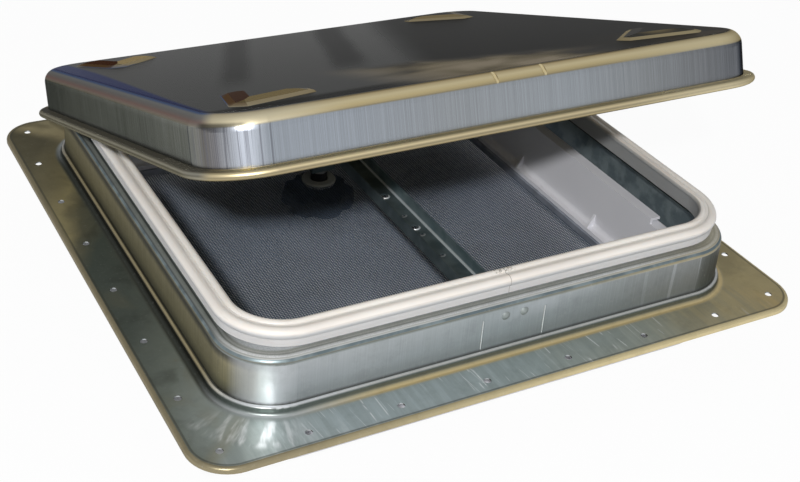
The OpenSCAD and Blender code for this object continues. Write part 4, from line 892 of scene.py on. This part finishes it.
def mesh_fibre():
    shade = Shade("mesh_fibre")
    waves = shade.noise(shade.place()[0], scale=13.0, detail=2.0, distortion=0.5)
    return shade.finish(shade.mix(shade.step(waves, *FIBRE_WAVES), FIBRE_DARK, FIBRE_PALE), FIBRE_ROUGH)


def add_strand(verts, faces, axis, place, start, end, height):
    """One closed strand with four sides, along x or y."""
    half = STRAND_W / 2
    left = half if axis == 0 else -half
    first = len(verts)
    for along in (start, end):
        for side, up in ((left, 0.0), (0.0, half), (-left, 0.0), (0.0, -half)):
            point = [0.0, 0.0, height + up]
            point[axis] = along
            point[1 - axis] = place + side
            verts.append(point)
    for i in range(4):
        j = (i + 1) % 4
        faces.append((first + i, first + j, first + 4 + j, first + 4 + i))
    faces.append((first + 3, first + 2, first + 1, first))
    faces.append((first + 4, first + 5, first + 6, first + 7))


def mesh_strands():
    """The fine weave, in place of the solid's coarse net."""
    low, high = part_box("insect_screen")
    middle = (low[2] + high[2]) / 2
    hub_low, hub_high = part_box("screen_grommet")
    hole_at = ((hub_low[0] + hub_high[0]) / 2, (hub_low[1] + hub_high[1]) / 2)
    hole_r = GROMMET_SHARE * (hub_high[0] - hub_low[0])
    verts, faces = [], []
    for axis in (0, 1):
        count = int((high[1 - axis] - low[1 - axis]) / MESH_PITCH)
        height = middle + (axis - 0.5) * STRAND_W
        for i in range(count):
            place = low[1 - axis] + (i + 0.5) * MESH_PITCH
            away = place - hole_at[1 - axis]
            if abs(away) < hole_r:
                reach = math.sqrt(hole_r ** 2 - away ** 2)
                add_strand(verts, faces, axis, place, low[axis], hole_at[axis] - reach, height)
                add_strand(verts, faces, axis, place, hole_at[axis] + reach, high[axis], height)
            else:
                add_strand(verts, faces, axis, place, low[axis], high[axis], height)
    made = add_mesh("insect_mesh", verts, faces, mesh_fibre())
    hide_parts("insect_screen")
    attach(made, "base")


# Floor: size, finish, how white it is to the camera, and the darker ground under the vent
FLOOR_Z = cad_box[0][2]
FLOOR_HALF = 6.0
FLOOR_GREY = (0.8, 0.8, 0.8)
FLOOR_ROUGH = 0.8
FLOOR_WHITE = 0.95
UNDER_X = (0.0, 0.198, 0.011)
UNDER_Y = (0.03, 0.18, 0.026)

# Light: the surroundings' colour and strength in front and behind, and one small softbox
SKY = (0.95, 0.97, 1.0, 1.0)
SKY_FRONT, SKY_BACK = 0.57, 0.28
KEY_AT = (-0.88, -1.4, 1.15)
KEY_AIM = (0.0, 0.0, 0.02)
KEY_W, KEY_H = 0.1, 0.07
KEY_POWER = 30.0


def white_floor():
    """White to the camera and in reflections, but for the vent's faint shadow and the ground under it."""
    shade = Shade("pale_floor")
    x, y = shade.split(shade.place()[0])[:2]
    shade.finish(FLOOR_GREY, FLOOR_ROUGH)
    path = shade.node("ShaderNodeLightPath").outputs
    seen = shade.most(path["Is Camera Ray"], path["Is Glossy Ray"])
    seen = shade.most(seen, path["Is Transmission Ray"])
    under = shade.times(shade.band(x, *UNDER_X), shade.band(y, *UNDER_Y))
    share = shade.times(seen, FLOOR_WHITE, shade.rest(under))
    glow = shade.node("ShaderNodeEmission", {"Color": (1.0, 1.0, 1.0, 1.0), "Strength": 1.0})
    mixed = shade.node("ShaderNodeMixShader", {0: share, 1: shade.shader.outputs[0], 2: glow.outputs[0]})
    shade.put(shade.tree.nodes["Material Output"].inputs["Surface"], mixed.outputs[0])
    signs = ((-1, -1), (1, -1), (1, 1), (-1, 1))
    corners = [(across * FLOOR_HALF, along * FLOOR_HALF, FLOOR_Z) for across, along in signs]
    made = add_mesh("floor", corners, [(0, 1, 2, 3)], shade.material)


def pale_world():
    """Even pale light, stronger from the front."""
    world = bpy.data.worlds.new("studio")
    bpy.context.scene.world = world
    world.use_nodes = True
    nodes, links = world.node_tree.nodes, world.node_tree.links
    background = nodes["Background"]
    background.inputs["Color"].default_value = SKY
    place = nodes.new("ShaderNodeTexCoord")
    parts = nodes.new("ShaderNodeSeparateXYZ")
    level = nodes.new("ShaderNodeMapRange")
    links.new(place.outputs["Generated"], parts.inputs[0])
    links.new(parts.outputs["Y"], level.inputs["Value"])
    for key, value in (("From Min", -1.0), ("From Max", 1.0), ("To Min", SKY_FRONT), ("To Max", SKY_BACK)):
        level.inputs[key].default_value = value
    links.new(level.outputs[0], background.inputs["Strength"])


def key_light():
    light = bpy.data.lights.new("key", "AREA")
    light.shape = "RECTANGLE"
    light.size = KEY_W
    light.size_y = KEY_H
    light.energy = KEY_POWER
    lamp = bpy.data.objects.new("key", light)
    lamp.location = KEY_AT
    lamp.rotation_euler = (Vector(KEY_AIM) - Vector(KEY_AT)).to_track_quat("-Z", "Y").to_euler()
    bpy.context.scene.collection.objects.link(lamp)


def photo_camera():
    data = bpy.data.cameras.new("camera")
    data.sensor_fit = "HORIZONTAL"
    data.sensor_width = SENSOR_MM
    data.lens = FOCAL_PX * SENSOR_MM / IMAGE_W
    data.shift_x = (IMAGE_W / 2 - AXIS_PX[0]) / IMAGE_W
    data.shift_y = (AXIS_PX[1] - IMAGE_H / 2) / IMAGE_W
    camera = bpy.data.objects.new("camera", data)
    camera.location = CAMERA_AT
    camera.rotation_euler = [math.radians(angle) for angle in CAMERA_TURN_DEG]
    bpy.context.scene.collection.objects.link(camera)
    bpy.context.scene.camera = camera


# Plain metals: name, dark and pale colour, roughness, how metallic, and the nodes that wear it
METALS = (
    ("dull_zinc", ZINC_DARK, ZINC_PALE, 0.38, 0.75, ("operator_bracket", "lift_track")),
    ("turned_steel", (0.3, 0.31, 0.32), (0.5, 0.5, 0.5), 0.25, 1.0,
     ("hinge_pin", "lift_arm", "pivot_pin", "arm_spacer", "shaft_bush", "drive_shaft", "thrust_washer",
      "knob_screw", "garnish_screws")),
    ("hinge_zinc", (0.3, 0.31, 0.31), (0.46, 0.47, 0.46), 0.3, 1.0, ("hinge_base_leaf", "hinge_lid_leaf")),
    ("rivet_steel", (0.22, 0.25, 0.25), (0.31, 0.34, 0.33), 0.42, 0.75,
     ("channel_rivets", "hinge_base_rivets", "hinge_lid_rivets", "bracket_rivets")),
    ("screen_aluminium", (0.34, 0.37, 0.43), (0.45, 0.48, 0.55), 0.4, 0.7, ("screen_frame",)),
)

# Plastics: name, colour, the clouds' colour, roughness, and the nodes that wear it
PLASTICS = (
    ("white_plastic", (0.7, 0.7, 0.735), (0.66, 0.66, 0.7), 0.3, ("garnish",)),
    ("grommet_nylon", (0.3, 0.31, 0.29), (0.36, 0.37, 0.34), 0.4, ("screen_grommet",)),
    ("black_plastic", (0.009, 0.009, 0.01), (0.014, 0.014, 0.015), 0.45, ("knob",)),
    ("spline_rubber", (0.05, 0.05, 0.055), (0.07, 0.07, 0.075), 0.6, ("screen_spline",)),
    ("nylon", (0.68, 0.66, 0.58), (0.74, 0.72, 0.66), 0.4, ("slide_button", "worm_wheel")),
)

dress(galvanised_base(), "base_frame")
dress(bright_lid(), "lid_shell")
dress(seal_vinyl(), "lid_seal")
dress(channel_zinc(), "cross_channel")
for *finish, wearers in METALS:
    dress(plain_metal(*finish), *wearers)
for *finish, wearers in PLASTICS:
    dress(moulded_plastic(*finish), *wearers)
mesh_strands()
white_floor()
pale_world()
key_light()
photo_camera()
bpy.context.scene.view_settings.view_transform = "Standard"
